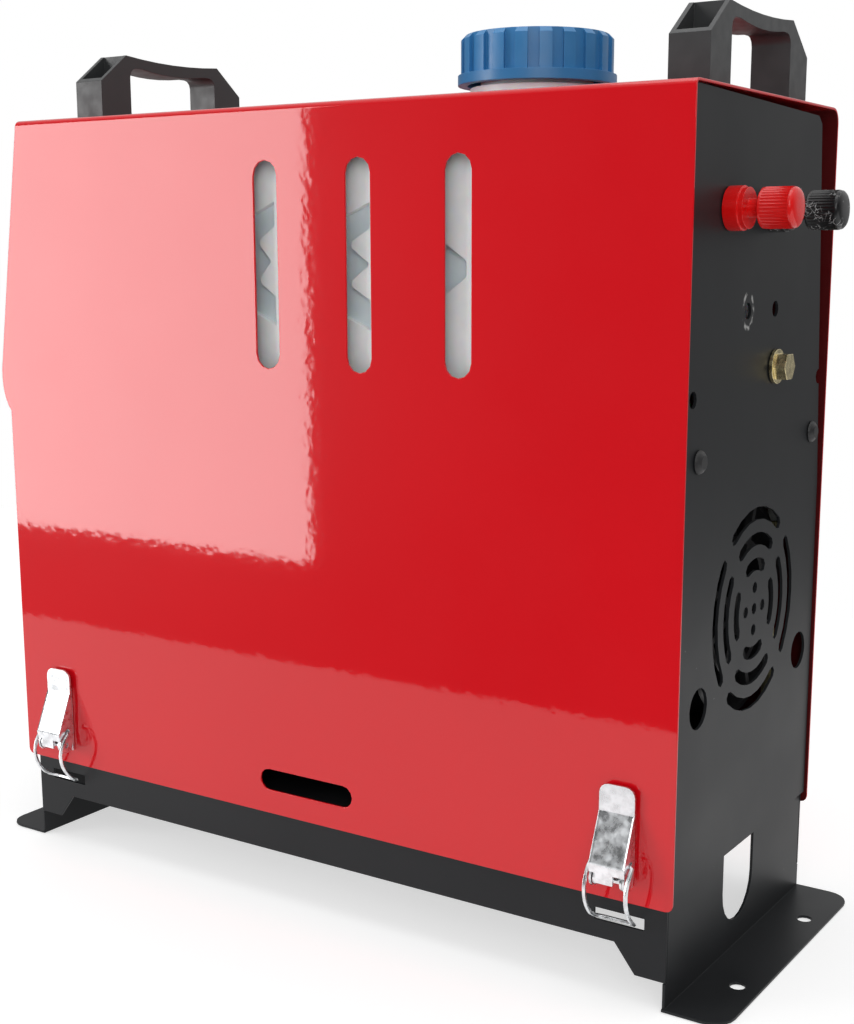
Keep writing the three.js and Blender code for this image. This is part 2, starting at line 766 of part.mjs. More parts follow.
// ---- Right end panel with the ring grille ----
function makeRightPanel() {
  const r = panelCornerRadius;
  const outline = [
    ...polygon([-panelHalf, panelBottom], [panelHalf, panelBottom]),
    ...polygon([backEdgeMiddle, backEdgeBend], [backEdgeTop + r / 3, panelTop - r]),
    ...polygon([backEdgeTop - r, panelTop]),
    ...arc(-panelHalf + r, panelFrontTop - r, r, 90, 180, 3),
  ];
  const round = (y, z, diameter, sides = 10) => circle(y, z, diameter / 2, sides);
  const quarters = [0, 90, 180, 270];
  const slots = grilleRings.flatMap((radius) => {
    const bridgeHalf = Math.asin((grilleBridge + grilleSlotWidth) / 2 / radius);
    const half = 45 - THREE.MathUtils.radToDeg(bridgeHalf);
    return quarters.map((middle) =>
      arcSlot(heaterY, heaterZ, radius, grilleSlotWidth, middle, half),
    );
  });
  const dots = quarters.map((angle) => {
    const place = arc(heaterY, heaterZ, grilleHoleRadius, angle, angle, 1)[0];
    return round(place.x, place.y, grilleHole);
  });
  const passing = 2 * seatGap;
  const pairs = [
    [ventHoleSpacing, ventHoleZ, ventHole, 20],
    [rivetSpacing, rivetZ, rivetShank + passing, 10],
  ].flatMap(([spacing, z, diameter, sides]) =>
    [-1, 1].map((side) => {
      const middle = spacing === ventHoleSpacing ? heaterY : 0;
      return round(middle + (side * spacing) / 2, z, diameter, sides);
    }),
  );
  const edgeHoles = [-1, 1].map((side) => round((side * edgeHoleSpacing) / 2, edgeHoleZ, smallHole));
  const singles = [
    round(heaterY, heaterZ, grilleHole),
    round(smallHoleLeftY, smallHoleZ, smallHole, 12),
    round(smallHoleRightY, smallHoleZ, smallHole, 12),
    round(boltY, boltZ, boltShank + passing),
    round(terminalRedY, terminalZ, terminalStud + passing),
    round(terminalBlackY, terminalZ, terminalStud + passing),
  ];
  const holes = [...slots, ...dots, ...pairs, ...edgeHoles, ...singles];
  return prism("x", outline, panelInner, halfLength, holes);
}

// ---- Left end panel: upright below, leaning inwards above its step ----
function leftPanelLine(inset) {
  return [
    [-halfLength + inset, panelBottom],
    [-halfLength + inset, stepStart],
    [slantFootX + inset, stepEnd],
    [slantX(panelTop) + inset, panelTop],
  ];
}

function makeLeftPanel() {
  const section = polygon(...leftPanelLine(0), ...leftPanelLine(caseSheet).reverse());
  const sheet = prism("y", section, -panelHalf, panelHalf);
  const hole = outletOuter + outletPassing;
  const outlet = rod("x", heaterY, heaterZ, hole, -halfLength - bite, -panelInner + bite, 40);
  const length = controllerBodyLength / 2 + seatGap;
  const height = controllerBodyHeight / 2 + seatGap;
  const window = box(-5, 5, -length, length, -height, height)
    .rotate([0, slantTilt, 0])
    .translate([slantX(controllerHeight), 0, controllerHeight]);
  return cut(sheet, outlet, window);
}

// ---- Controller: x = 0 is the panel's outer face and -x points out ----
const buttonPlaces = {
  power_button: [-buttonY, buttonZ],
  set_button: [-buttonY, -buttonZ],
  up_button: [buttonY, buttonZ],
  down_button: [buttonY, -buttonZ],
};
const bezelFace = -seatGap - bezelThickness;
const screenFloor = bezelFace + screenThickness;

function makeControllerCase() {
  const bezel = prism(
    "x",
    roundedRectangle(-bezelLength / 2, bezelLength / 2, -bezelHeight / 2, bezelHeight / 2, bezelCorner),
    bezelFace,
    -seatGap,
  );
  const half = controllerBodyLength / 2;
  const rise = controllerBodyHeight / 2;
  const body = box(-seatGap - bezelThickness / 2, controllerBodyDepth, -half, half, -rise, rise);
  const recessHalf = screenLength / 2 + seatGap;
  const recessRise = screenHeight / 2 + seatGap;
  const recess = box(
    bezelFace - bite, screenFloor + seatGap, -recessHalf, recessHalf, -recessRise, recessRise,
  );
  const pocketFloor = bezelFace + buttonThickness + seatGap;
  const pockets = Object.values(buttonPlaces).map(([y, z]) =>
    rod("x", y, z, buttonOuter + 2 * seatGap, bezelFace - bite, pocketFloor, 16),
  );
  return cut(joined(bezel, body), recess, ...pockets);
}

function makeScreen() {
  const half = screenLength / 2;
  const rise = screenHeight / 2;
  return box(bezelFace, screenFloor, -half, half, -rise, rise);
}

function makeButton() {
  const proud = bezelFace - buttonTravel - seatGap;
  return rod("x", 0, 0, buttonOuter, proud, proud + buttonThickness, 16);
}

// ---- Shelf under the tank ----
function makeShelf() {
  const half = shelfDepth / 2;
  const bottom = shelfTop - caseSheet;
  const plate = box(-webOuter, webOuter, -half, half, bottom, shelfTop);
  const lips = [-half, half - caseSheet].map((y) =>
    box(tankLeft, tankRight, y, y + caseSheet, bottom, shelfTop + shelfLip),
  );
  const flanges = [-webOuter, webInner].map((x) =>
    box(x, x + caseSheet, -half, half, shelfTop - shelfEndFlange, shelfTop),
  );
  const room = 8;
  const leadGap = (x, y, side) =>
    box(x - side, x + side, y - room, y + room, bottom - bite, shelfTop + bite);
  const rivetHole = rivetShank + 2 * seatGap;
  const rivets = [-1, 1].map((side) =>
    rod("x", (side * rivetSpacing) / 2, rivetZ, rivetHole, webInner - bite, webOuter + bite, 12),
  );
  return cut(
    joined(plate, ...lips, ...flanges),
    leadGap(leadX, leadY, room),
    leadGap(filterX, filterY, room),
    leadGap(harnessX, 0, room),
    ...rivets,
  );
}

// ---- Tank, hollow and open at its neck ----
function makeTank() {
  const block = (inset) => {
    const outline = roundedRectangle(
      tankLeft + inset, tankRight - inset, -tankHalf + inset, tankHalf - inset, tankCorner - inset, 5,
    );
    return prism("z", outline, tankBottom + inset, tankTop - inset);
  };
  const mouth = rod("z", capX, 0, neckBore, tankTop - tankWall - bite, tankTop + bite, 28);
  const nipple = rod(
    "x", filterY, tankNippleZ, nippleOuter, tankRight - tankWall / 2, tankRight + nippleLength, 12,
  );
  const boreFrom = tankRight - tankWall - bite;
  const boreTo = tankRight + nippleLength + bite;
  const nippleBore = rod("x", filterY, tankNippleZ, nippleOuter / 2, boreFrom, boreTo, 8);
  return cut(joined(block(0), nipple), block(tankWall), mouth, nippleBore);
}

// ---- Filler neck on the tank's mouth: wide below the cap, narrower inside it ----
function makeNeck() {
  const bottom = tankTop + seatGap;
  const shoulder = capZ - capDepth - neckShoulder;
  return cut(
    joined(
      rod("z", 0, 0, neckOuter, bottom, shoulder, 32),
      rod("z", 0, 0, neckThread, bottom, capZ, 32),
    ),
    rod("z", 0, 0, neckBore, bottom - bite, capZ + bite, 28),
  );
}

// ---- Screw cap, built on its own axis at its real height ----
function makeCap() {
  const skirt = capZ - capDepth;
  const ceiling = capZ + gasketThickness + 2 * seatGap;
  const top = ceiling + capCeiling;
  const shell = turned("z", [
    [0, ceiling],
    [capBore / 2, ceiling],
    [capBore / 2, skirt],
    [capFlange / 2, skirt],
    [capFlange / 2, skirt + capFlangeHeight],
    [capOuter / 2, skirt + capFlangeHeight],
    [capOuter / 2, top - capTopBevel],
    [capOuter / 2 - capTopBevel, top],
    [0, top],
  ], 40);
  const pitch = (2 * Math.PI) / capRibs;
  const grooveWidth = (pitch * capOuter) / 2 - capRibWidth;
  const grooves = Array.from({ length: capRibs }, (_, i) => {
    const depth = capOuter / 2 - capGroove;
    return box(depth, capFlange, -grooveWidth / 2, grooveWidth / 2, skirt + capFlangeHeight, top + bite)
      .rotate([0, 0, (360 * (i + 0.5)) / capRibs]);
  });
  return cut(shell, ...grooves);
}

function makeGasket() {
  const bottom = capZ + seatGap;
  const outer = neckThread - seatGap;
  return pipe("z", 0, 0, outer, outer - 2 * gasketWidth, bottom, bottom + gasketThickness, 24);
}

// ---- Heater unit, built on its own axis along X ----
function makeCasing() {
  const section = (inset) =>
    roundedRectangle(
      -casingWidth / 2 + inset, casingWidth / 2 - inset, -casingRoof + inset, casingRoof - inset,
      casingCorner - inset, 5,
    );
  const hollow = prism("x", section(casingWall), -casingHalf + casingWall, casingHalf - casingWall);
  const hole = (x, y, diameter) =>
    rod("z", x, y - heaterY, diameter + 4 * seatGap, casingRoof - casingWall - bite, casingRoof + bite, 16);
  const block = footBlockWidth / 2 + seatGap;
  return cut(
    prism("x", section(0), -casingHalf, casingHalf),
    hollow,
    rod("x", 0, 0, casingOutlet, -casingHalf - bite, -casingHalf + casingWall + bite, 32),
    rod("x", 0, 0, casingInlet, casingHalf - casingWall - bite, casingHalf + bite, 32),
    box(footBlockLeft - seatGap, footBlockRight + seatGap, -block, block, -casingRoof - bite, -exchangerRoot),
    hole(leadDropX, leadY, sleeveOuter),
    hole(harnessDropX, harnessDropY, harnessOuter),
  );
}

function casingHalves() {
  const whole = makeCasing();
  const far = caseLength;
  const above = box(-far, far, -far, far, -seatGap / 2, far);
  const below = box(-far, far, -far, far, -far, seatGap / 2);
  return { lower: whole.subtract(above), upper: whole.subtract(below) };
}

function finnedOutline() {
  const step = 360 / exchangerFins;
  const finHalf = THREE.MathUtils.radToDeg(finWidth / 2 / exchangerRoot);
  return Array.from({ length: exchangerFins }, (_, i) => {
    const middle = i * step;
    return [
      arc(0, 0, exchangerRoot, middle - finHalf, middle - finHalf, 1)[0],
      arc(0, 0, finTip, middle - finHalf, middle - finHalf, 1)[0],
      arc(0, 0, finTip, middle + finHalf, middle + finHalf, 1)[0],
      arc(0, 0, exchangerRoot, middle + finHalf, middle + finHalf, 1)[0],
    ];
  }).flat();
}

const floorLocal = trayTop + seatGap - heaterZ; // the foot block's seat, from the heater's axis

function makeExchanger() {
  const body = prism("x", finnedOutline(), exchangerLeft, exchangerRight);
  const half = footBlockWidth / 2;
  const block = box(footBlockLeft, footBlockRight, -half, half, floorLocal, -exchangerRoot + 3);
  const nippleZ = fuelNippleZ - heaterZ;
  const nipple = rod("y", fuelNippleX, nippleZ, hoseOuter, half - bite, half + fuelNippleReach, 12);
  return cut(
    joined(body, block, nipple),
    rod("x", 0, 0, exchangerBore, exchangerLeft + exchangerEndWall, exchangerRight + bite, 24),
    rod("z", exhaustPortX, 0, portBore, floorLocal - bite, 0, 20),
    rod("z", airPortX, 0, portBore, floorLocal - bite, airPortTop, 20),
    rod("z", plugX, 0, plugOuter + 2 * seatGap, 0, finTip + bite, 16),
  );
}

function makeBurner() {
  const inner = burnerOuter / 2 - burnerWall;
  const end = exchangerRight - seatGap;
  const flange = exchangerBore / 2 - seatGap;
  const tube = turned("x", [
    [inner, burnerLeft],
    [burnerOuter / 2, burnerLeft],
    [burnerOuter / 2, end - burnerFlange],
    [flange, end - burnerFlange],
    [flange, end],
    [inner, end],
  ], 24);
  return cut(tube, rod("z", plugX, 0, plugOuter + 2 * seatGap, 0, burnerOuter, 16));
}

function makeGlowPlug() {
  const hexBottom = finTip + seatGap;
  return joined(
    rod("z", plugX, 0, plugOuter, plugTip, plugTop, 16),
    prism("z", hexagon(plugX, 0, plugHex), hexBottom, hexBottom + plugHexHeight),
  );
}

function makeBlowerHousing() {
  const start = exchangerRight + seatGap;
  const wall = blowerHousingEnd - blowerEndWall;
  const shaftHole = shaftOuter / 2 + 1.5;
  return turned("x", [
    [blowerHousingBore / 2, start],
    [blowerHousingOuter / 2, start],
    [blowerHousingOuter / 2, blowerHousingEnd],
    [shaftHole, blowerHousingEnd],
    [shaftHole, wall],
    [blowerHousingBore / 2, wall],
  ], 28);
}

function makeMotor() {
  const bore = shaftOuter / 2 + seatGap;
  const start = blowerHousingEnd + seatGap;
  const bossLength = 4;
  return turned("x", [
    [bore, start],
    [motorOuter / 2, start],
    [motorOuter / 2, motorEnd - bossLength],
    [shaftOuter * 1.5, motorEnd - bossLength],
    [shaftOuter * 1.5, motorEnd],
    [bore, motorEnd],
  ], 20);
}

const fanBore = shaftOuter + 2 * seatGap;

function makeHotFan() {
  const hub = rod("x", 0, 0, hotFanHub, hotFanLeft, hotFanLeft + hotFanWidth, 24);
  const root = hotFanHub / 2 - bite;
  const span = hotFanOuter / 2 - root;
  const bladeTwist = 35; // degrees from the shaft
  const blades = Array.from({ length: hotFanBlades }, (_, i) =>
    box(-hotFanWidth / 2, hotFanWidth / 2, -fanBlade / 2, fanBlade / 2, root, root + span)
      .rotate([0, 0, bladeTwist])
      .rotate([(360 * i) / hotFanBlades, 0, 0])
      .translate([hotFanLeft + hotFanWidth / 2, 0, 0]),
  );
  const bore = rod("x", 0, 0, fanBore, hotFanLeft - bite, hotFanLeft + hotFanWidth + bite, 16);
  return cut(joined(hub, ...blades), bore);
}

// The combustion fan is pressed on the rotor's shaft.
function makeRotor() {
  const disc = rod("x", 0, 0, combustionFanOuter, combustionFanLeft, combustionFanLeft + fanDisc, 24);
  const end = combustionFanLeft + combustionFanWidth;
  const reach = combustionFanOuter / 2 - bite;
  const hub = rod("x", 0, 0, shaftOuter * 2.5, combustionFanLeft, end, 16);
  const vanes = Array.from({ length: combustionVanes }, (_, i) =>
    box(combustionFanLeft + fanDisc - bite, end, -fanVane / 2, fanVane / 2, combustionFanOuter / 4, reach)
      .rotate([(360 * i) / combustionVanes, 0, 0]),
  );
  return joined(disc, hub, ...vanes, rod("x", 0, 0, shaftOuter, shaftLeft, shaftRight, 16));
}

function makeGuard() {
  const start = casingHalf + seatGap;
  const end = panelInner - guardRoom;
  const face = end - guardBar;
  const rim = pipe("x", 0, 0, guardOuter, guardOuter - 2 * guardBar, start, end, 28);
  const middle = (guardOuter + guardHub) / 2;
  const ring = pipe("x", 0, 0, middle, middle - 2 * guardBar, face, end, 20);
  const spokes = Array.from({ length: guardSpokes }, (_, i) =>
    box(face, end, -guardBar / 2, guardBar / 2, guardHub / 2 - bite, guardOuter / 2 - guardBar / 2)
      .rotate([(360 * (i + 0.5)) / guardSpokes, 0, 0]),
  );
  return joined(rim, ring, rod("x", 0, 0, guardHub, face, end, 16), ...spokes);
}

function makeOutlet() {
  const inner = outletOuter / 2 - outletWall;
  const start = -casingHalf - seatGap;
  const end = -halfLength - endReach;
  const collarStart = -halfLength - seatGap;
  const collarEnd = collarStart - outletCollarThickness;
  const tube = turned("x", [
    [inner, start],
    [outletOuter / 2, start],
    [outletOuter / 2, collarStart],
    [outletCollar / 2, collarStart],
    [outletCollar / 2, collarEnd],
    [outletOuter / 2, collarEnd],
    [outletOuter / 2, end],
    [inner, end],
  ], 30);
  const bars = Array.from({ length: outletBars }, (_, i) => {
    const z = (i - (outletBars - 1) / 2) * outletBarPitch;
    const half = Math.sqrt(inner ** 2 - z ** 2) + outletWall / 2;
    return box(collarEnd - outletBarDepth, collarEnd, -half, half, z - outletBar / 2, z + outletBar / 2);
  });
  return joined(tube, ...bars);
}

function makeBoard() {
  const back = boardLeft + boardLength;
  const half = boardWidth / 2;
  const top = boardZ + boardThickness;
  const postTop = casingRoof - casingWall - seatGap;
  const postY = casingWidth / 2 - casingCorner - 4;
  const inset = 5;
  const posts = [boardLeft + inset, back - inset].flatMap((x) =>
    [-postY, postY].map((y) => rod("z", x, y, 5, boardZ, postTop, 10)),
  );
  const relay = box(boardLeft + 8, boardLeft + 24, -12, 4, boardZ, top + 12);
  return joined(box(boardLeft, back, -half, half, boardZ, top), ...posts, relay);
}

function makeStub(x, outer) {
  return pipe("z", x, 0, outer, outer - 2 * stubWall, stubBottom - heaterZ, trayTop - heaterZ, 20);
}

// ---- Fuel pump, its mount and the filter, each on its own axis ----
function makePump() {
  const hose = hoseOuter / 2;
  const bodyEnd = pumpLeft + pumpBodyLength;
  return turned("x", [
    [0, pumpLeft - pumpNeckLength - pumpNippleLength],
    [hose, pumpLeft - pumpNeckLength - pumpNippleLength],
    [hose, pumpLeft - pumpNeckLength],
    [pumpNeck / 2, pumpLeft - pumpNeckLength],
    [pumpNeck / 2, pumpLeft],
    [pumpBody / 2, pumpLeft],
    [pumpBody / 2, bodyEnd],
    [pumpNeck / 2, bodyEnd],
    [pumpNeck / 2, bodyEnd + pumpNeckLength],
    [hose, bodyEnd + pumpNeckLength],
    [hose, bodyEnd + pumpNeckLength + pumpNippleLength],
    [0, bodyEnd + pumpNeckLength + pumpNippleLength],
  ], 16);
}

function makePumpMount() {
  const end = pumpMountLeft + pumpMountLength;
  const footBottom = trayTop + seatGap - pumpZ;
  const half = pumpMountOuter / 2;
  const foot = box(pumpMountLeft, end, -half, half, footBottom, footBottom + pumpMountFoot);
  const stem = box(pumpMountLeft, end, -half / 2, half / 2, footBottom, -pumpBody / 2 - 1);
  const ring = rod("x", 0, 0, pumpMountOuter, pumpMountLeft, end, 28);
  const bore = rod("x", 0, 0, pumpBody + 2 * seatGap, pumpMountLeft - bite, end + bite, 24);
  const belowFoot = box(pumpMountLeft - bite, end + bite, -half - bite, half + bite, -pumpZ, footBottom);
  return cut(joined(ring, foot, stem), bore, belowFoot);
}

function makeFilter() {
  const hose = hoseOuter / 2;
  const wide = filterOuter / 2;
  return turned("z", [
    [0, filterBottom - filterNipple],
    [hose, filterBottom - filterNipple],
    [hose, filterBottom],
    [wide - 2, filterBottom],
    [wide, filterBottom + 3],
    [wide, filterTop - 3],
    [wide - 2, filterTop],
    [hose, filterTop],
    [hose, filterTop + filterNipple],
    [0, filterTop + filterNipple],
  ], 14);
}

// ---- Hoses and leads ----
const tankNippleZ = tankBottom + 8.5;
const harnessX = (-webOuter + tankLeft) / 2;

function makeTankLine() {
  const start = tankRight + nippleLength + seatGap;
  return bentRod([
    [start, filterY, tankNippleZ],
    [start + 2, filterY, tankNippleZ],
    [filterX - 0.8, filterY, tankNippleZ - 4.2],
    [filterX, filterY, tankNippleZ - 9],
    [filterX, filterY, filterTop + filterNipple + seatGap],
  ], hoseOuter, 8, 9);
}

function makePumpLine() {
  const pumpEnd = pumpLeft + pumpBodyLength + pumpNeckLength + pumpNippleLength + seatGap;
  return bentRod([
    [filterX, filterY, filterBottom - filterNipple - seatGap],
    [filterX, filterY, filterBottom - 30],
    [filterX, filterY, pumpZ + 30],
    [filterX, filterY - 0.5, pumpZ + 13],
    [filterX - 4, (filterY + pumpY) / 2, pumpZ + 3],
    [pumpEnd + 4, pumpY, pumpZ],
    [pumpEnd, pumpY, pumpZ],
  ], hoseOuter, 8, 13);
}

function makeHeaterLine() {
  const start = pumpLeft - pumpNeckLength - pumpNippleLength - seatGap;
  const blockFace = heaterY + footBlockWidth / 2;
  const end = blockFace + fuelNippleReach + seatGap;
  return bentRod([
    [start, pumpY, pumpZ],
    [start - 10, pumpY, pumpZ],
    [fuelNippleX + 16, pumpY - 0.5, pumpZ + 1],
    [fuelNippleX + 5, pumpY - 3, fuelNippleZ],
    [fuelNippleX, end + 4, fuelNippleZ],
    [fuelNippleX, end, fuelNippleZ],
  ], hoseOuter, 8, 10);
}

const boardTop = heaterZ + boardZ + boardThickness + seatGap;

function makePowerLead() {
  const studBottom = terminalZ - terminalStud / 2 - seatGap;
  const join = [leadX + 1, leadY, studBottom - 32];
  const conductor = (y) =>
    bentRod([
      [leadX, y, studBottom],
      [leadX, y, studBottom - 6],
      [leadX + 0.5, (y + leadY) / 2, studBottom - 18],
      [join[0], leadY, join[2] + 3],
      [join[0], leadY, join[2] - 6],
    ], leadOuter, 6, 6);
  const sleeve = bentRod([
    [join[0], leadY, join[2]],
    [join[0], leadY, shelfTop + 12],
    [leadX, leadY, shelfTop],
    [leadX - 5, leadY, leadRunZ + 1],
    [leadX - 14, leadY, leadRunZ],
    [leadDropX + 12, leadY, leadRunZ],
    [leadDropX + 2, leadY, leadRunZ - 2],
    [leadDropX, leadY, heaterZ + casingRoof],
    [leadDropX, leadY, boardTop],
  ], sleeveOuter, 8, 20);
  return joined(conductor(terminalRedY), conductor(terminalBlackY), sleeve);
}

function makeHarness() {
  const depth = controllerBodyDepth + seatGap;
  const behind = (run) => [
    slantX(controllerHeight) + (depth + run) * Math.cos(slant),
    0,
    controllerHeight - (depth + run) * Math.sin(slant),
  ];
  return bentRod([
    behind(0),
    behind(2),
    [harnessX, 0, controllerHeight - 14],
    [harnessX, 0, shelfTop + 8],
    [harnessX, 0, shelfTop - 2],
    [harnessX + 6, 1, leadRunZ],
    [harnessX + 20, 3, leadRunZ],
    [0, harnessDropY / 2, leadRunZ],
    [harnessDropX - 14, harnessDropY, leadRunZ],
    [harnessDropX - 2, harnessDropY, leadRunZ - 2],
    [harnessDropX, harnessDropY, heaterZ + casingRoof],
    [harnessDropX, harnessDropY, boardTop],
  ], harnessOuter, 6, 28);
}

// ---- Fittings on the right end panel, each on its own axis along X ----
function makePost(knobEnd) {
  const collarEnd = terminalFace + terminalCollarLength;
  const studEnd = halfLength + knobEnd - knobRoof;
  const inner = panelInner - terminalInnerLength;
  return joined(
    rod("x", 0, 0, terminalCollar, terminalFace, collarEnd - terminalRing, 20),
    rod("x", 0, 0, terminalCollar - terminalStep, terminalFace, collarEnd, 20),
    rod("x", 0, 0, terminalStud, inner, studEnd, 12),
  );
}

function makeKnob(knobEnd) {
  const end = halfLength + knobEnd;
  const start = end - knobLength;
  const wide = knobOuter / 2;
  const body = turned("x", [
    [0, start],
    [wide, start],
    [wide, end - 2],
    [wide - 1.2, end - 0.6],
    [wide - 3, end],
    [0, end],
  ], 24);
  const flutes = Array.from({ length: knobFlutes }, (_, i) => {
    const a = (2 * Math.PI * i) / knobFlutes;
    return rod("x", wide * Math.cos(a), wide * Math.sin(a), 1.4, start + 1.5, end - 2.5, 4);
  });
  const bore = rod("x", 0, 0, terminalStud + 2 * seatGap, start - bite, end - knobRoof + seatGap, 12);
  return cut(body, ...flutes, bore);
}

function makeBolt() {
  const flangeEnd = terminalFace + 1.6;
  return joined(
    rod("x", 0, 0, boltShank, panelInner - fastenerLength, flangeEnd, 12),
    rod("x", 0, 0, boltFlange, terminalFace, flangeEnd, 20),
    prism("x", hexagon(0, 0, boltHex), terminalFace, terminalFace + boltHeadHeight),
  );
}

function makeRivet() {
  const wide = rivetHead / 2;
  return joined(
    turned("x", [
      [0, terminalFace],
      [wide, terminalFace],
      [wide - 0.5, terminalFace + rivetRise / 2],
      [wide - 2, terminalFace + rivetRise],
      [0, terminalFace + rivetRise],
    ], 16),
    rod("x", 0, 0, rivetShank, panelInner - fastenerLength, terminalFace + rivetRise / 2, 10),
  );
}

// ---- The assembly ----
const cover = new THREE.Group();
piece(cover, "cover_shell", makeCover(), redEnamel);
const handleShape = makeHandle();
const handlePlaces = { handle_left: handleLeftX, handle_right: handleRightX };
for (const [name, x] of Object.entries(handlePlaces)) {
  const place = new THREE.Group();
  place.position.set(x, 0, coverTop + seatGap);
  piece(place, name, handleShape, darkPlastic);
  cover.add(place);
}

const latchBase = makeLatchBase();
const lever = makeLever();
const bail = makeBail();
for (const face of ["front", "back"]) {
  for (const side of ["left", "right"]) {
    const place = new THREE.Group();
    const facing = face === "front" ? -1 : 1;
    place.position.set(side === "right" ? latchX : -latchX, facing * coverOuter, 0);
    place.rotation.z = face === "front" ? 0 : Math.PI;
    piece(place, `latch_base_${face}_${side}`, latchBase, zinc);
    piece(place, `latch_lever_${face}_${side}`, lever, zinc);
    piece(place, `latch_bail_${face}_${side}`, bail, zinc);
    cover.add(place);
  }
}
heater.add(cover);

const caseGroup = new THREE.Group();
piece(caseGroup, "base_tray", makeTray(), blackPowder);
const foot = makeFoot();
piece(caseGroup, "foot_bracket_right", foot, blackPowder);
const leftFoot = new THREE.Group();
leftFoot.rotation.z = Math.PI;
piece(leftFoot, "foot_bracket_left", foot, blackPowder);
caseGroup.add(leftFoot);
piece(caseGroup, "end_panel_right", makeRightPanel(), blackPowder);
piece(caseGroup, "end_panel_left", makeLeftPanel(), blackPowder);
piece(caseGroup, "tank_shelf", makeShelf(), blackPowder);
piece(caseGroup, "fuel_tank", makeTank(), tankPlastic);
const neck = new THREE.Group();
neck.position.set(capX, 0, 0);
piece(neck, "filler_neck", makeNeck(), tankPlastic);
caseGroup.add(neck);
heater.add(caseGroup);

const controller = new THREE.Group();
controller.position.set(slantX(controllerHeight), 0, controllerHeight);
controller.rotation.y = slant;
piece(controller, "controller_case", makeControllerCase(), blackPlastic);
piece(controller, "controller_screen", makeScreen(), screenGlass);
const button = makeButton();
for (const [name, [y, z]] of Object.entries(buttonPlaces)) {
  const place = new THREE.Group();
  place.position.set(0, y, z);
  piece(place, name, button, darkPlastic);
  controller.add(place);
}
caseGroup.add(controller);

const cap = new THREE.Group();
cap.position.set(capX, 0, 0);
piece(cap, "fuel_cap", makeCap(), bluePlastic);
piece(cap, "cap_gasket", makeGasket(), rubber);
heater.add(cap);

const unit = new THREE.Group();
unit.position.set(0, heaterY, heaterZ);
const casing = casingHalves();
piece(unit, "heater_lower_casing", casing.lower, blackPlastic);
piece(unit, "heater_upper_casing", casing.upper, blackPlastic);
piece(unit, "heat_exchanger", makeExchanger(), castAluminium);
piece(unit, "burner_tube", makeBurner(), steel);
piece(unit, "glow_plug", makeGlowPlug(), steel);
piece(unit, "blower_housing", makeBlowerHousing(), blackPlastic);
piece(unit, "blower_motor", makeMotor(), steel);
piece(unit, "hot_air_fan", makeHotFan(), blackPlastic);
piece(unit, "combustion_rotor", makeRotor(), castAluminium);
piece(unit, "inlet_guard", makeGuard(), blackPlastic);
piece(unit, "outlet_ring", makeOutlet(), blackPlastic);
piece(unit, "control_board", makeBoard(), boardGreen);
piece(unit, "combustion_air_stub", makeStub(airPortX, airStubOuter), castAluminium);
piece(unit, "exhaust_stub", makeStub(exhaustPortX, exhaustStubOuter), steel);
caseGroup.add(unit);

const pump = new THREE.Group();
pump.position.set(0, pumpY, pumpZ);
piece(pump, "dosing_pump", makePump(), steel);
piece(pump, "pump_mount", makePumpMount(), rubber);
caseGroup.add(pump);

const filter = new THREE.Group();
filter.position.set(filterX, filterY, 0);
piece(filter, "fuel_filter", makeFilter(), filterPlastic);
caseGroup.add(filter);

piece(caseGroup, "fuel_line_tank", makeTankLine(), fuelHose);
piece(caseGroup, "fuel_line_pump", makePumpLine(), fuelHose);
piece(caseGroup, "fuel_line_heater", makeHeaterLine(), fuelHose);
piece(caseGroup, "power_lead", makePowerLead(), rubber);
piece(caseGroup, "control_harness", makeHarness(), rubber);

const terminals = {
  red: { y: terminalRedY, knobEnd: redKnobReach, look: redPlastic },
  black: { y: terminalBlackY, knobEnd: endReach, look: blackPlastic },
};
for (const [colour, { y, knobEnd, look }] of Object.entries(terminals)) {
  const place = new THREE.Group();
  place.position.set(0, y, terminalZ);
  piece(place, `terminal_post_${colour}`, makePost(knobEnd), look);
  piece(place, `terminal_knob_${colour}`, makeKnob(knobEnd), look);
  caseGroup.add(place);
}

const bolt = new THREE.Group();
bolt.position.set(0, boltY, boltZ);
piece(bolt, "panel_bolt", makeBolt(), yellowZinc);
caseGroup.add(bolt);
const rivet = makeRivet();
const rivetPlaces = { panel_plug_front: -rivetSpacing / 2, panel_plug_back: rivetSpacing / 2 };
for (const [name, y] of Object.entries(rivetPlaces)) {
  const place = new THREE.Group();
  place.position.set(0, y, rivetZ);
  piece(place, name, rivet, blackPlastic);
  caseGroup.add(place);
}

export default heater;
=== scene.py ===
import json
import math

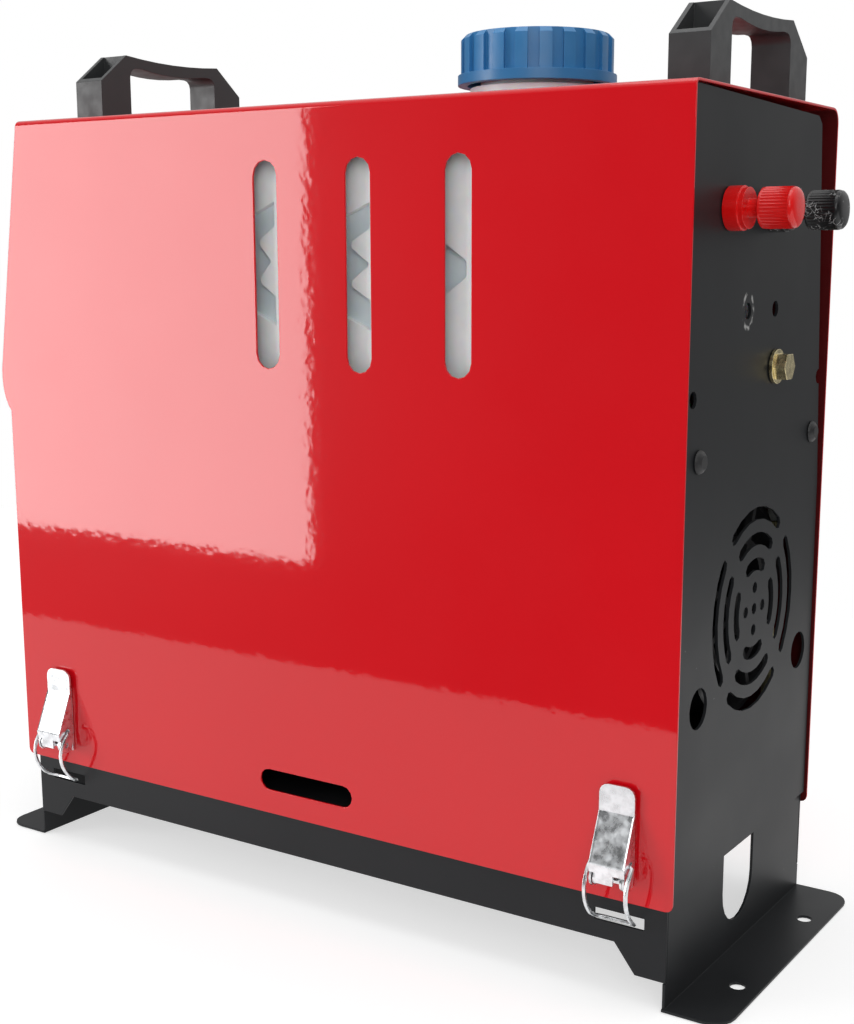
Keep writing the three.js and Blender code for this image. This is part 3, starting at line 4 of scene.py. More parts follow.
import bpy
from bpy.props import FloatProperty, FloatVectorProperty, PointerProperty
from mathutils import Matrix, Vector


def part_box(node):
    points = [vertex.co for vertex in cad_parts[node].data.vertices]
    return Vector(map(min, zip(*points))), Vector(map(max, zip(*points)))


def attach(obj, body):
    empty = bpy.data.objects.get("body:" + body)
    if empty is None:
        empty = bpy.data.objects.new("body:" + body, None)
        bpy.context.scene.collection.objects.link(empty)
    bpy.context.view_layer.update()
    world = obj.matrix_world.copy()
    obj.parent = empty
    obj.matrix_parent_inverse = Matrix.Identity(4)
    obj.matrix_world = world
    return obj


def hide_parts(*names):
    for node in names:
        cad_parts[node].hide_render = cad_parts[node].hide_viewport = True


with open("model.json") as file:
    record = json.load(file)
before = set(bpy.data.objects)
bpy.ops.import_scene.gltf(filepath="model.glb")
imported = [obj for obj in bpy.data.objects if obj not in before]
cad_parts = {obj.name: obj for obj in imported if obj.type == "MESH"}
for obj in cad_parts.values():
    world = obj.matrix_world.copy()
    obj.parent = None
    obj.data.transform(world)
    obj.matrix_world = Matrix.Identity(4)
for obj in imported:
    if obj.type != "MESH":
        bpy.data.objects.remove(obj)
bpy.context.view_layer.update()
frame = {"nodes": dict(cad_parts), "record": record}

bl_info = {
    "name": "Diesel Air Heater",
    "version": (1, 0, 0),
    "blender": (4, 5, 0),
    "location": "View3D > Sidebar > Heater",
    "description": "Dresses a portable diesel air heater in enamel, powder coat, zinc and plastic",
    "category": "Object",
}

MM = 0.001
FACES = ("front", "back")
SIDES = ("left", "right")
LATCHES = tuple(f"{face}_{side}" for face in FACES for side in SIDES)
# A small hole in the right end panel's outer face, with scratched paint round it.
WORN_HOLE = (0.1733, -0.0164, 0.2663)
# Points nearer than these are one point, and faces flatter than this are one face.
MERGE_DISTANCE = 0.004 * MM
SAME_PLACE = 0.0001 * MM
ROUNDING = 0.001 * MM
FLAT_ANGLE = math.radians(1)
SHARP_ANGLE = math.radians(32)

KNOB_SIDES = 80
KNOB_SMOOTH_ANGLE = math.radians(42)

FLOOR_DROP = 0.4 * MM
IMAGE_WIDTH = 854
FOCAL_PIXELS = 1538
SHIFT_PIXELS = (-21, 37)
SENSOR_WIDTH = 36
CAMERA_PLACE = (0.4013, -0.5774, 0.2891)

# Each lamp's name, place, turn in degrees, size and power setting.
LAMPS = (
    ("key_lamp", (-1.72, -1.5, 0.35), (90, 0, 0), (1.20, 1.12), "key_power"),
    ("side_lamp", (1.1, -1.5, 0.9), (69.4, 0, 36.3), (0.9, 0.9), "side_power"),
    ("top_lamp", (0.1, -0.2, 2.0), (0, 0, 0), (1.6, 1.2), "fill_power"),
)


# ---- Settings ----
def colour(name, description, value):
    return FloatVectorProperty(
        name=name, description=description, default=value, subtype="COLOR", min=0, max=1
    )


def length(name, description, value):
    return FloatProperty(
        name=name, description=description, default=value, unit="LENGTH", subtype="DISTANCE", min=0
    )


def share(name, description, value):
    return FloatProperty(
        name=name, description=description, default=value, subtype="FACTOR", min=0, max=1
    )


class HeaterFinish(bpy.types.PropertyGroup):
    enamel: colour("Enamel", "Colour of the cover's enamel", (0.62, 0.0030, 0.0085))
    powder: colour("Powder coat", "Colour of the case's powder coat", (0.014, 0.015, 0.0165))
    handle: colour("Handles", "Colour of the moulded handles", (0.036, 0.0375, 0.039))
    tank: colour("Tank", "Colour of the translucent tank", (0.90, 0.93, 0.94))
    cap: colour("Cap", "Colour of the screw cap", (0.032, 0.200, 0.450))
    terminal_red: colour("Red terminal", "Colour of the positive terminal", (0.74, 0.006, 0.006))
    terminal_black: colour(
        "Black terminal", "Colour of the negative terminal", (0.010, 0.010, 0.011)
    )
    enamel_roughness: share("Enamel roughness", "Roughness below the enamel's skin", 0.34)
    orange_peel: share("Orange peel", "Waviness of the enamel's skin", 0.6)
    powder_roughness: share("Powder roughness", "Roughness of the powder coat", 0.42)
    speck_share: share("Dust", "How much dust lies on the enamel and the black sheet", 0.35)


class HeaterEdges(bpy.types.PropertyGroup):
    sheet: length("Sheet edge", "Rounding of the folded sheet's edges", 0.00025)
    cover: length("Cover edge", "Rounding of the enamelled cover's edges", 0.0004)
    end_sheet: length("End sheet edge", "Rounding of the right end panel and its foot", 0.00045)
    moulding: length("Moulded edge", "Rounding of moulded plastic", 0.0006)
    handle: length("Handle edge", "Rounding of the handles", 0.0012)
    pressing: length("Pressed edge", "Rounding of the latches' pressed sheet", 0.0002)
    tank_band: length("Tank band", "Depth of the tank's toothed band", 0.0028)
    lever_rim: length("Lever rim", "Width of the rim round a lever's face", 0.0009)
    lever_press: length("Lever press", "Depth of a lever's pressed face", 0.0004)
    smooth_angle: FloatProperty(
        name="Smooth angle",
        description="Faces that meet at less than this are shaded as one",
        default=math.radians(50),
        unit="ROTATION",
        subtype="ANGLE",
    )


class HeaterStudio(bpy.types.PropertyGroup):
    azimuth: FloatProperty(
        name="Camera azimuth", description="Turn of the camera round the heater",
        default=math.radians(33.04), unit="ROTATION", subtype="ANGLE",
    )
    elevation: FloatProperty(
        name="Camera tilt", description="How far the camera looks down",
        default=math.radians(10.99), unit="ROTATION", subtype="ANGLE",
    )
    floor_width: length("Floor width", "Width of the pale floor", 6.0)
    floor_front: length("Floor front", "Reach of the floor before the heater", 0.40)
    floor_back: length("Floor back", "Reach of the floor behind the heater", 0.60)
    floor_matt: share("Floor", "Brightness of the floor for matt surfaces", 0.80)
    floor_shown: share("Floor shown", "How much of the lamps' light the floor shows", 0.60)
    floor_glow: share("Floor glow", "Light that the floor adds, so that shadows stay pale", 0.58)
    key_power: FloatProperty(
        name="Key power", description="Power of the large soft lamp", default=28.0, unit="POWER"
    )
    fill_power: FloatProperty(
        name="Fill power", description="Power of the overhead lamp", default=9.0, unit="POWER"
    )
    side_power: FloatProperty(
        name="Side power", description="Power of the lamp on the right", default=8.0, unit="POWER"
    )
    ambient: share("Ambient", "Brightness of the room for matt surfaces", 0.56)
    horizon_front: share("Front horizon", "Brightness of the horizon before the heater", 0.06)
    horizon_back: share("Back horizon", "Brightness of the horizon behind the heater", 0.32)
    white_from: share("White from", "Height at which reflections begin to turn white", 0.35)
    white_at: share("White at", "Height from which reflections are white", 0.85)
    back_lift: share("Back lift", "How much lower the white reaches behind the heater", 0.45)


# ---- Shader trees ----
class Finish:
    """A material and the nodes that make it, read from object coordinates in metres."""

    def __init__(self, name):
        self.material = bpy.data.materials.new(name)
        self.material.use_nodes = True
        self.tree = self.material.node_tree
        self.shader = self.tree.nodes["Principled BSDF"]
        self.place = self.tree.nodes.new("ShaderNodeTexCoord").outputs["Object"]

    def node(self, kind, inputs=None, **settings):
        made = self.tree.nodes.new(kind)
        for key, value in settings.items():
            setattr(made, key, value)
        for key, value in (inputs or {}).items():
            self.give(made.inputs[key], value)
        return made

    def give(self, socket, value):
        if isinstance(value, bpy.types.NodeSocket):
            self.tree.links.new(value, socket)
        elif hasattr(value, "__len__") and len(value) == 3 and len(socket.default_value) == 4:
            socket.default_value = (*value, 1)
        else:
            socket.default_value = value

    def noise(self, size, detail=2.0, stretch=(1, 1, 1)):
        """Noise whose blobs are about size metres across."""
        place = self.node("ShaderNodeMapping", {"Vector": self.place, "Scale": stretch})
        made = self.node(
            "ShaderNodeTexNoise",
            {"Vector": place.outputs["Vector"], "Scale": 1 / size, "Detail": detail},
        )
        return made.outputs["Fac"]

    def cells(self, size):
        """Distance to the nearest of scattered points about size metres apart."""
        made = self.node("ShaderNodeTexVoronoi", {"Vector": self.place, "Scale": 1 / size})
        return made.outputs["Distance"], made.outputs["Color"]

    def spread(self, value, low, high, to_low=0.0, to_high=1.0):
        made = self.node(
            "ShaderNodeMapRange",
            {
                "Value": value, "From Min": low, "From Max": high,
                "To Min": to_low, "To Max": to_high,
            },
        )
        return made.outputs["Result"]

    def math(self, operation, first, second):
        made = self.node("ShaderNodeMath", operation=operation)
        self.give(made.inputs[0], first)
        self.give(made.inputs[1], second)
        return made.outputs["Value"]

    def blend(self, factor, first, second):
        made = self.node("ShaderNodeMix", data_type="RGBA")
        self.give(made.inputs["Factor"], factor)
        self.give(made.inputs[6], first)
        self.give(made.inputs[7], second)
        return made.outputs[2]

    def bump(self, height, depth, strength=1.0, below=None):
        inputs = {"Height": height, "Distance": depth, "Strength": strength}
        if below is not None:
            inputs["Normal"] = below
        return self.node("ShaderNodeBump", inputs).outputs["Normal"]

    def surface(self, **inputs):
        names = {
            "colour": "Base Color", "roughness": "Roughness", "metallic": "Metallic",
            "normal": "Normal", "specular": "Specular IOR Level", "coat": "Coat Weight",
            "coat_roughness": "Coat Roughness", "coat_normal": "Coat Normal",
            "subsurface": "Subsurface Weight", "subsurface_scale": "Subsurface Scale",
        }
        for key, value in inputs.items():
            self.give(self.shader.inputs[names[key]], value)
        return self.material


def tinted(value, factor):
    return tuple(min(1.0, part * factor) for part in value)


def dusted(made, ground, dust, spacing, edge, rarity):
    """The ground colour with specks of dust, in only some of the scattered places."""
    near, tone = made.cells(spacing)
    speck = made.spread(near, *edge, 1.0, 0.0)
    few = made.spread(tone, *rarity, 0.0, bpy.context.scene.heater_finish.speck_share)
    return made.blend(made.math("MULTIPLY", speck, few), ground, dust)


def enamel_finish():
    """Gloss enamel over steel: a smooth clear skin with orange peel and a little dust."""
    made = Finish("red_enamel")
    finish = bpy.context.scene.heater_finish
    red = tuple(finish.enamel)
    shade = made.blend(made.noise(90 * MM, 1.0), tinted(red, 0.95), tinted(red, 1.04))
    dusty = dusted(made, shade, (0.80, 0.45, 0.42), 11 * MM, (0.02, 0.032), (0.62, 0.68))
    peel = made.bump(made.noise(4.2 * MM, 1.5), 0.026 * MM, finish.orange_peel)
    skin = made.bump(made.noise(1.1 * MM, 1.0), 0.003 * MM, 0.5, peel)
    rough = finish.enamel_roughness
    roughness = made.spread(made.noise(30 * MM), 0.3, 0.7, rough * 0.9, rough * 1.15)
    return made.surface(
        colour=dusty, roughness=roughness, normal=skin, coat_normal=peel, specular=0.06,
        coat=1.0, coat_roughness=0.035,
    )


def powder_finish(name, scuff=None):
    """Fine-grained powder coat with dust, and a worn ring round the scuff's place."""
    made = Finish(name)
    finish = bpy.context.scene.heater_finish
    black = tuple(finish.powder)
    drift = made.noise(50 * MM, 2.0)
    ground = made.blend(drift, tinted(black, 0.8), tinted(black, 1.3))
    dusty = dusted(made, ground, (0.50, 0.50, 0.49), 9 * MM, (0.02, 0.036), (0.60, 0.66))
    if scuff:
        dusty = made.blend(worn_ring(made, scuff), dusty, (0.42, 0.42, 0.41))
    rough = finish.powder_roughness
    roughness = made.spread(drift, 0.3, 0.7, rough * 0.92, rough * 1.1)
    normal = made.bump(made.noise(0.6 * MM, 2.0), 0.03 * MM, 0.3)
    return made.surface(colour=dusty, roughness=roughness, normal=normal, specular=0.2)


def worn_ring(made, place):
    """1 on a broken ring of scratches round a place on the end panel."""
    ring_radius, ring_core, ring_edge = 5.2 * MM, 0.3 * MM, 1.0 * MM
    flattened = (0, 1, 0.8)
    offset = made.node(
        "ShaderNodeVectorMath", {0: made.place, 1: place}, operation="SUBTRACT"
    ).outputs["Vector"]
    flat = made.node(
        "ShaderNodeVectorMath", {0: offset, 1: flattened}, operation="MULTIPLY"
    ).outputs["Vector"]
    reach = made.node("ShaderNodeVectorMath", {0: flat}, operation="LENGTH").outputs["Value"]
    away = made.math("ABSOLUTE", made.math("SUBTRACT", reach, ring_radius), 0)
    ring = made.spread(away, ring_core, ring_edge, 1.0, 0.0)
    broken = made.spread(made.noise(3.5 * MM, 3.0), 0.46, 0.56, 0.0, 0.8)
    return made.math("MULTIPLY", ring, broken)


def plastic_finish(name, base, roughness, grain=0.4 * MM, depth=0.01 * MM, specular=0.5, **more):
    """Moulded plastic or rubber: a drifting shade over a fine grain."""
    made = Finish(name)
    base = tuple(base)
    drift = made.noise(12 * MM, 2.0)
    shade = made.blend(drift, tinted(base, 0.88), tinted(base, 1.12))
    normal = made.bump(made.noise(grain, 2.0), depth, 0.5)
    clouds = made.noise(6 * MM, 2.0)
    rough = made.spread(clouds, 0.3, 0.7, roughness * 0.85, roughness * 1.15)
    return made.surface(colour=shade, roughness=rough, normal=normal, specular=specular, **more)


def scuffed_finish(name, base):
    """Black gloss plastic with pale hairline scuffs."""
    bend_scale, bend_reach, line_scale = 260.0, 4 * MM, 420.0
    pale = (0.55, 0.55, 0.55)
    made = Finish(name)
    bend = made.node(
        "ShaderNodeTexNoise", {"Vector": made.place, "Scale": bend_scale}
    ).outputs["Color"]
    bent = made.node(
        "ShaderNodeVectorMath", {0: bend, 1: (bend_reach,) * 3}, operation="MULTIPLY"
    ).outputs["Vector"]
    place = made.node(
        "ShaderNodeVectorMath", {0: made.place, 1: bent}, operation="ADD"
    ).outputs["Vector"]
    lines = made.node(
        "ShaderNodeTexVoronoi", {"Vector": place, "Scale": line_scale},
        feature="DISTANCE_TO_EDGE",
    ).outputs["Distance"]
    line = made.spread(lines, 0.015, 0.05, 1.0, 0.0)
    patch = made.spread(made.noise(6 * MM, 2.0), 0.50, 0.60, 0.0, 0.75)
    shade = made.blend(made.math("MULTIPLY", line, patch), tuple(base), pale)
    return made.surface(colour=shade, roughness=made.spread(patch, 0.0, 0.75, 0.28, 0.5),
                        specular=0.45)


def metal_finish(name, base, roughness, patch, depth=0.01 * MM, stretch=(1, 1, 1),
                 darkest=0.72):
    """Bare or plated metal with darker patches, drawn out where it is stretched."""
    made = Finish(name)
    base = tuple(base)
    patches = made.noise(patch, 3.0, stretch)
    spread = made.spread(patches, 0.35, 0.65)
    shade = made.blend(spread, tinted(base, darkest), tinted(base, 1.12))
    rough = made.spread(patches, 0.3, 0.7, roughness * 0.7, roughness * 1.3)
    normal = made.bump(made.noise(patch * 0.5, 2.0, stretch), depth, 0.4)
    return made.surface(colour=shade, roughness=rough, normal=normal, metallic=1.0)


def make_finishes():
    """Every material by its name: one for each slot in the record, and two variants."""
    finish = bpy.context.scene.heater_finish
    plastics = {
        # Painted shade: a dark copy of the enamel for the cover's inner faces, standing for the
        # shade inside the case.
        "enamel_overspray": {
            "base": tinted(finish.enamel, 0.12), "roughness": 0.6, "grain": 0.6 * MM,
            "depth": 0.03 * MM, "specular": 0.2,
        },
        "handle_plastic": {"base": finish.handle, "roughness": 0.42, "grain": 0.7 * MM},
        "tank_plastic": {
            "base": finish.tank, "roughness": 0.38, "grain": 2 * MM, "depth": 0.02 * MM,
            "subsurface": 0.25, "subsurface_scale": 4 * MM,
        },
        "blue_plastic": {"base": finish.cap, "roughness": 0.36, "grain": 0.5 * MM},
        "red_plastic": {"base": finish.terminal_red, "roughness": 0.18, "grain": 1 * MM},
        "black_plastic": {"base": (0.014, 0.014, 0.015), "roughness": 0.48},
        "rubber": {
            "base": (0.012, 0.012, 0.012), "roughness": 0.7, "grain": 0.5 * MM,
            "depth": 0.02 * MM,
        },
        "board_green": {"base": (0.012, 0.10, 0.035), "roughness": 0.35},
        "screen_glass": {
            "base": (0.006, 0.010, 0.014), "roughness": 0.08, "grain": 10 * MM,
            "depth": 0.001 * MM,
        },
        "fuel_hose": {"base": (0.42, 0.38, 0.20), "roughness": 0.3},
        "filter_plastic": {"base": (0.75, 0.77, 0.74), "roughness": 0.25},
    }
    metals = {
        "bright_zinc": {
            "base": (0.80, 0.82, 0.84), "roughness": 0.30, "patch": 3.5 * MM,
            "depth": 0.008 * MM, "darkest": 0.80,
        },
        "yellow_zinc": {"base": (0.72, 0.62, 0.36), "roughness": 0.25, "patch": 3 * MM},
        "cast_aluminium": {
            "base": (0.60, 0.61, 0.62), "roughness": 0.5, "patch": 0.8 * MM, "depth": 0.06 * MM,
        },
        "steel": {
            "base": (0.52, 0.53, 0.55), "roughness": 0.3, "patch": 1.2 * MM,
            "stretch": (1, 8, 8),
        },
    }
    finishes = {
        "red_enamel": enamel_finish(),
        "black_powder": powder_finish("black_powder"),
        "worn_powder": powder_finish("worn_powder", WORN_HOLE),
        "black_gloss": scuffed_finish("black_gloss", finish.terminal_black),
    }
    for name, look in plastics.items():
        finishes[name] = plastic_finish(name, **look)
    for name, look in metals.items():
        finishes[name] = metal_finish(name, **look)
    return finishes


# ---- Modelling steps ----
def deselect():
    for each in bpy.context.selected_objects:
        each.select_set(False)


def only(piece):
    deselect()
    piece.select_set(True)
    bpy.context.view_layer.objects.active = piece


def add_modifier(piece, kind, **settings):
    only(piece)
    modifier = piece.modifiers.new(kind.lower(), kind)
    for key, value in settings.items():
        setattr(modifier, key, value)
    bpy.ops.object.modifier_apply(modifier=modifier.name)


def soften(piece, radius, segments=2):
    """Rounds the piece's sharp edges and shades it evenly."""
    edges = bpy.context.scene.heater_edges
    add_modifier(
        piece, "BEVEL", width=radius, segments=segments, limit_method="ANGLE",
        angle_limit=SHARP_ANGLE, use_clamp_overlap=True,
    )
    only(piece)
    bpy.ops.object.shade_smooth_by_angle(angle=edges.smooth_angle)
    add_modifier(piece, "WEIGHTED_NORMAL", keep_sharp=True)


def node_copy(node):
    """The CAD node's own mesh, merged, as a new object."""
    source = frame["nodes"][node]
    piece = bpy.data.objects.new(node + "_finished", source.data.copy())
    bpy.context.scene.collection.objects.link(piece)
    only(piece)
    bpy.ops.object.mode_set(mode="EDIT")
    bpy.ops.mesh.select_all(action="SELECT")
    bpy.ops.mesh.remove_doubles(threshold=MERGE_DISTANCE)
    bpy.ops.mesh.dissolve_limited(angle_limit=FLAT_ANGLE)
    bpy.ops.object.mode_set(mode="OBJECT")
    return piece


def dress(piece, node, slot, finish=None):
    """Gives a piece its finish and puts it in the place of the CAD node."""
    piece.data.materials.clear()
    piece.data.materials.append(FINISHES[finish or slot])
    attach(piece, BODY_OF[node])
    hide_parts(node)


def finish_node(node, radius, segments=2, finish=None):
    piece = node_copy(node)
    soften(piece, radius, segments)
    dress(piece, node, SLOT_OF[node], finish)
    return piece


def edit_mode(mode):
    bpy.ops.object.mode_set(mode="EDIT")
    bpy.ops.mesh.select_mode(type=mode)


def object_mode():
    bpy.ops.object.mode_set(mode="OBJECT")


def pick_points(piece, wanted):
    """Selects the points for which wanted(place) is true, and leaves the piece in edit mode."""
    only(piece)
    edit_mode("VERT")
    bpy.ops.mesh.select_all(action="DESELECT")
    object_mode()
    for point in piece.data.vertices:
        point.select = wanted(point.co)
    edit_mode("VERT")


def pick_faces(piece, wanted):
    """Selects the faces for which wanted(face) is true, and leaves the piece in edit mode."""
    only(piece)
    edit_mode("FACE")
    bpy.ops.mesh.select_all(action="DESELECT")
    object_mode()
    found = 0
    for face in piece.data.polygons:
        face.select = wanted(face)
        found += face.select
    if not found:
        raise RuntimeError(piece.name + " has no such face")
    edit_mode("FACE")


def turned(name, middle, profile, segments):
    """A piece turned about a line along X, from (x, radius) steps that start inside it."""
    deselect()
    from_x, from_radius = profile[0]
    bpy.ops.mesh.primitive_circle_add(
        vertices=segments, radius=from_radius, fill_type="NGON",
        location=(from_x, *middle), rotation=(0, math.pi / 2, 0),
    )
    piece = bpy.context.object
    piece.name = name
    bpy.ops.object.transform_apply(location=True, rotation=True, scale=True)
    edit_mode("FACE")
    bpy.ops.mesh.select_all(action="SELECT")
    for x, radius in profile[1:]:
        bpy.ops.mesh.extrude_region_move(TRANSFORM_OT_translate={"value": (x - from_x, 0, 0)})
        grow = radius / from_radius
        bpy.ops.transform.resize(value=(1, grow, grow), center_override=(x, *middle))
        from_x, from_radius = x, radius
    bpy.ops.mesh.select_all(action="SELECT")
    bpy.ops.mesh.normals_make_consistent(inside=False)
    object_mode()
    return piece


def flute(piece, middle, from_x, to_x, segments, depth):
    """Draws in every second line of points, so that fine flutes run along the piece."""
    step = 2 * math.pi / segments

    def in_groove(place):
        turn = math.atan2(place.z - middle[1], place.y - middle[0]) / step
        along = from_x - ROUNDING < place.x < to_x + ROUNDING
        return along and round(turn) % 2 == 1

    pick_points(piece, in_groove)
    bpy.ops.transform.resize(
        value=(1, depth, depth), center_override=((from_x + to_x) / 2, *middle)
    )
    object_mode()


def outlined_block(name, points, front, depth):
    """A block with an outline of (x, z) points, from front back along Y."""
    deselect()
    count = len(points)
    middle = (sum(x for x, _ in points) / count, front, sum(z for _, z in points) / count)
    bpy.ops.mesh.primitive_circle_add(
        vertices=count, radius=10 * MM, fill_type="NGON", location=middle,
        rotation=(math.pi / 2, 0, 0),
    )
    block = bpy.context.object
    block.name = name
    bpy.ops.object.transform_apply(location=True, rotation=True, scale=True)
    for index, (x, z) in enumerate(points):
        place = block.data.vertices[index].co.copy()
        pick_points(block, lambda each, here=place: (each - here).length < SAME_PLACE)
        bpy.ops.transform.translate(value=(x - place.x, 0, z - place.z))
        object_mode()
    only(block)
    edit_mode("FACE")
    bpy.ops.mesh.select_all(action="SELECT")
    bpy.ops.mesh.extrude_region_move(TRANSFORM_OT_translate={"value": (0, depth, 0)})
    bpy.ops.mesh.select_all(action="SELECT")
    bpy.ops.mesh.normals_make_consistent(inside=False)
    object_mode()
    return block


def carve(piece, cutter):
    """Cuts the cutter's form out of the piece, and removes the cutter."""
    add_modifier(piece, "BOOLEAN", object=cutter, operation="DIFFERENCE", solver="EXACT")
    bpy.data.objects.remove(cutter, do_unlink=True)


BODY_OF = {
    node: body for body, nodes in frame["record"]["behaviour"]["bodies"].items() for node in nodes
}
SLOT_OF = {part["node"]: part["material_slot"] for part in frame["record"]["subparts"]}
FINISHES = {}


# ---- Operators ----
class HEATER_OT_finishes(bpy.types.Operator):
    """Make every material and give each CAD node its own"""
    bl_idname = "heater.finishes"
    bl_label = "Finishes"

    def execute(self, context):
        FINISHES.update(make_finishes())
        for node, obj in frame["nodes"].items():
            obj.data.materials.clear()
            obj.data.materials.append(FINISHES[SLOT_OF[node]])
        return {"FINISHED"}


class HEATER_OT_cover(bpy.types.Operator):
    """Round the folded cover's edges, and give its inner faces a dark enamel as painted shade"""
    bl_idname = "heater.cover"
    bl_label = "Cover"

    def execute(self, context):
        cover = finish_node("cover_shell", context.scene.heater_edges.cover)
        # Painted shade: the cover's inner faces take the dark enamel, which stands for the shade
        # inside the case.
        cover.data.materials.append(FINISHES["enamel_overspray"])
        low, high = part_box("cover_shell")
        sheet, slack, mostly, shade_slot = 1.1 * MM, 0.5 * MM, 0.5, 1
        depth = min(-low[1], high[1]) - sheet + slack
        for face in cover.data.polygons:
            middle = face.center
            inside = abs(middle.y) < depth and middle.z < high[2] - sheet
            if inside and (abs(face.normal.y) > mostly or face.normal.z < -mostly):
                face.material_index = shade_slot
        return {"FINISHED"}


class HEATER_OT_handles(bpy.types.Operator):
    """Round the moulded carrying handles"""
    bl_idname = "heater.handles"
    bl_label = "Handles"

    def execute(self, context):
        for side in SIDES:
            finish_node("handle_" + side, context.scene.heater_edges.handle, 3)
        return {"FINISHED"}


class HEATER_OT_latches(bpy.types.Operator):
    """Finish the four draw latches, with a pressed panel in each lever's face"""
    bl_idname = "heater.latches"
    bl_label = "Latches"

    def execute(self, context):
        edges = context.scene.heater_edges
        for latch in LATCHES:
            finish_node("latch_base_" + latch, edges.pressing)
            finish_node("latch_bail_" + latch, edges.pressing)
            lever = node_copy("latch_lever_" + latch)
            press_lever(lever, -1 if latch.startswith("front") else 1, edges)
            soften(lever, edges.pressing)
            dress(lever, "latch_lever_" + latch, SLOT_OF["latch_lever_" + latch])
        return {"FINISHED"}


def press_lever(lever, outward, edges):
    """Presses in the lever's long face, which tilts up, so that its sides stand as rims."""
    faces_out, tilts_up = 0.8, 0.1
    largest = max(
        (face for face in lever.data.polygons
         if face.normal.y * outward > faces_out and face.normal.z > tilts_up),
        key=lambda face: face.area,
    )
    place = largest.center.copy()
    pick_faces(lever, lambda face: (face.center - place).length < SAME_PLACE)
    bpy.ops.mesh.inset(thickness=edges.lever_rim, depth=-edges.lever_press)
    object_mode()


class HEATER_OT_case(bpy.types.Operator):
    """Finish the tray, feet, end panels and tank shelf"""
    bl_idname = "heater.case"
    bl_label = "Case"

    def execute(self, context):
        radius = context.scene.heater_edges.sheet
        for node in ("base_tray", "foot_bracket_left", "end_panel_left", "tank_shelf"):
            finish_node(node, radius)
        wide = context.scene.heater_edges.end_sheet
        finish_node("foot_bracket_right", wide)
        finish_node("end_panel_right", wide, finish="worn_powder")
        return {"FINISHED"}


class HEATER_OT_tank(bpy.types.Operator):
    """Mould the tank's toothed grip band, and finish its neck, cap and gasket"""
    bl_idname = "heater.tank"
    bl_label = "Tank and cap"

    def execute(self, context):
        radius = context.scene.heater_edges.moulding
        tank = node_copy("fuel_tank")
        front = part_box("fuel_tank")[0][1]
        depth = context.scene.heater_edges.tank_band
        for name, points in TANK_BANDS.items():
            carve(tank, outlined_block(name, points, front - depth, 2 * depth))
        soften(tank, radius)
        dress(tank, "fuel_tank", SLOT_OF["fuel_tank"])
        for node in ("filler_neck", "fuel_cap", "cap_gasket"):
            finish_node(node, radius)
        return {"FINISHED"}


def toothed(left, tip, notch, right, middle):
    """The outline of a hollow whose right side has two teeth that point left."""
    tooth_pitch, tooth_reach, blunt, blunt_depth = 15.4 * MM, 14.4 * MM, 1.5 * MM, 0.4 * MM
    notch_half, top_left, top_right = 0.6 * MM, 17.0 * MM, 24.5 * MM
    bottom_left, bottom_right = 19.0 * MM, 26.5 * MM
    outline = [
        (left, middle + top_left), (right, middle + top_right), (right, middle + tooth_reach),
    ]
    for tooth in (middle + tooth_pitch / 2, middle - tooth_pitch / 2):
        outline += [
            (tip + blunt_depth, tooth + blunt), (tip, tooth), (tip + blunt_depth, tooth - blunt),
        ]
        if tooth > middle:
            outline += [(notch, middle + notch_half), (notch, middle - notch_half)]
    outline += [
        (right, middle - tooth_reach), (right, middle - bottom_right),
        (left, middle - bottom_left),
    ]
    return outline


def pointed(left, tip, top, bottom, middle):
    """The outline of a hollow that narrows to a blunt tip on its right."""
    blunt, blunt_depth, tip_half = 3.35 * MM, 0.4 * MM, 2.35 * MM
    return [
        (left, top), (tip - blunt_depth, middle + blunt), (tip, middle + tip_half),
        (tip, middle - tip_half), (tip - blunt_depth, middle - blunt), (left, bottom),
    ]


TANK_BANDS = {
    "left_band": toothed(-0.0350, -0.0264, -0.0207, -0.0182, 0.2845),
    "middle_band": toothed(0.0130, 0.0216, 0.0302, 0.0310, 0.2835),
    "right_band": pointed(0.0600, 0.0770, 0.2965, 0.2670, 0.28195),
}


class HEATER_OT_fittings(bpy.types.Operator):
    """Turn the fluted terminal knobs, and finish the posts, bolt and plugs"""
    bl_idname = "heater.fittings"
    bl_label = "End fittings"

    def execute(self, context):
        radius = context.scene.heater_edges.pressing
        for node in (
            "terminal_post_red", "terminal_post_black", "panel_bolt", "panel_plug_front",
            "panel_plug_back",
        ):
            finish_node(node, radius)
        for colour_name in ("red", "black"):
            turn_knob("terminal_knob_" + colour_name)
        return {"FINISHED"}


def turn_knob(node):
    """A knob with a bored shank, forty flutes and a smooth domed end."""
    low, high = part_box(node)
    middle = ((low[1] + high[1]) / 2, (low[2] + high[2]) / 2)
    wide = (high[2] - low[2]) / 2
    start, end = low[0], high[0]
    bore, bore_end = 3.8 * MM, end - 3.0 * MM
    collar = wide - 0.1 * MM
    groove_start, groove_end, groove_depth = start + 1.4 * MM, end - 2.6 * MM, 0.45 * MM
    knob = turned(node + "_finished", middle, (
        (bore_end, bore),
        (start, bore),
        (start + 0.01 * MM, wide - 0.5 * MM),
        (start + 0.4 * MM, collar),
        (start + 1.1 * MM, collar),
        (groove_start, wide),
        (groove_end, wide),
        (end - 2.2 * MM, collar),
        (end - 1.3 * MM, wide - 0.35 * MM),
        (end - 0.6 * MM, wide - 1.1 * MM),
        (end - 0.2 * MM, wide - 2.3 * MM),
        (end, wide - 4.2 * MM),
    ), KNOB_SIDES)
    flute(knob, middle, groove_start, groove_end, KNOB_SIDES, 1 - groove_depth / wide)
    only(knob)
    bpy.ops.object.shade_smooth_by_angle(angle=KNOB_SMOOTH_ANGLE)
    dress(knob, node, SLOT_OF[node])


class HEATER_OT_controller(bpy.types.Operator):
    """Finish the controller and its buttons"""
    bl_idname = "heater.controller"
    bl_label = "Controller"

    def execute(self, context):
        radius = context.scene.heater_edges.moulding
        for node in ("controller_case", "controller_screen"):
            finish_node(node, radius)
        for key in ("power", "set", "up", "down"):
            finish_node(key + "_button", radius)
        return {"FINISHED"}


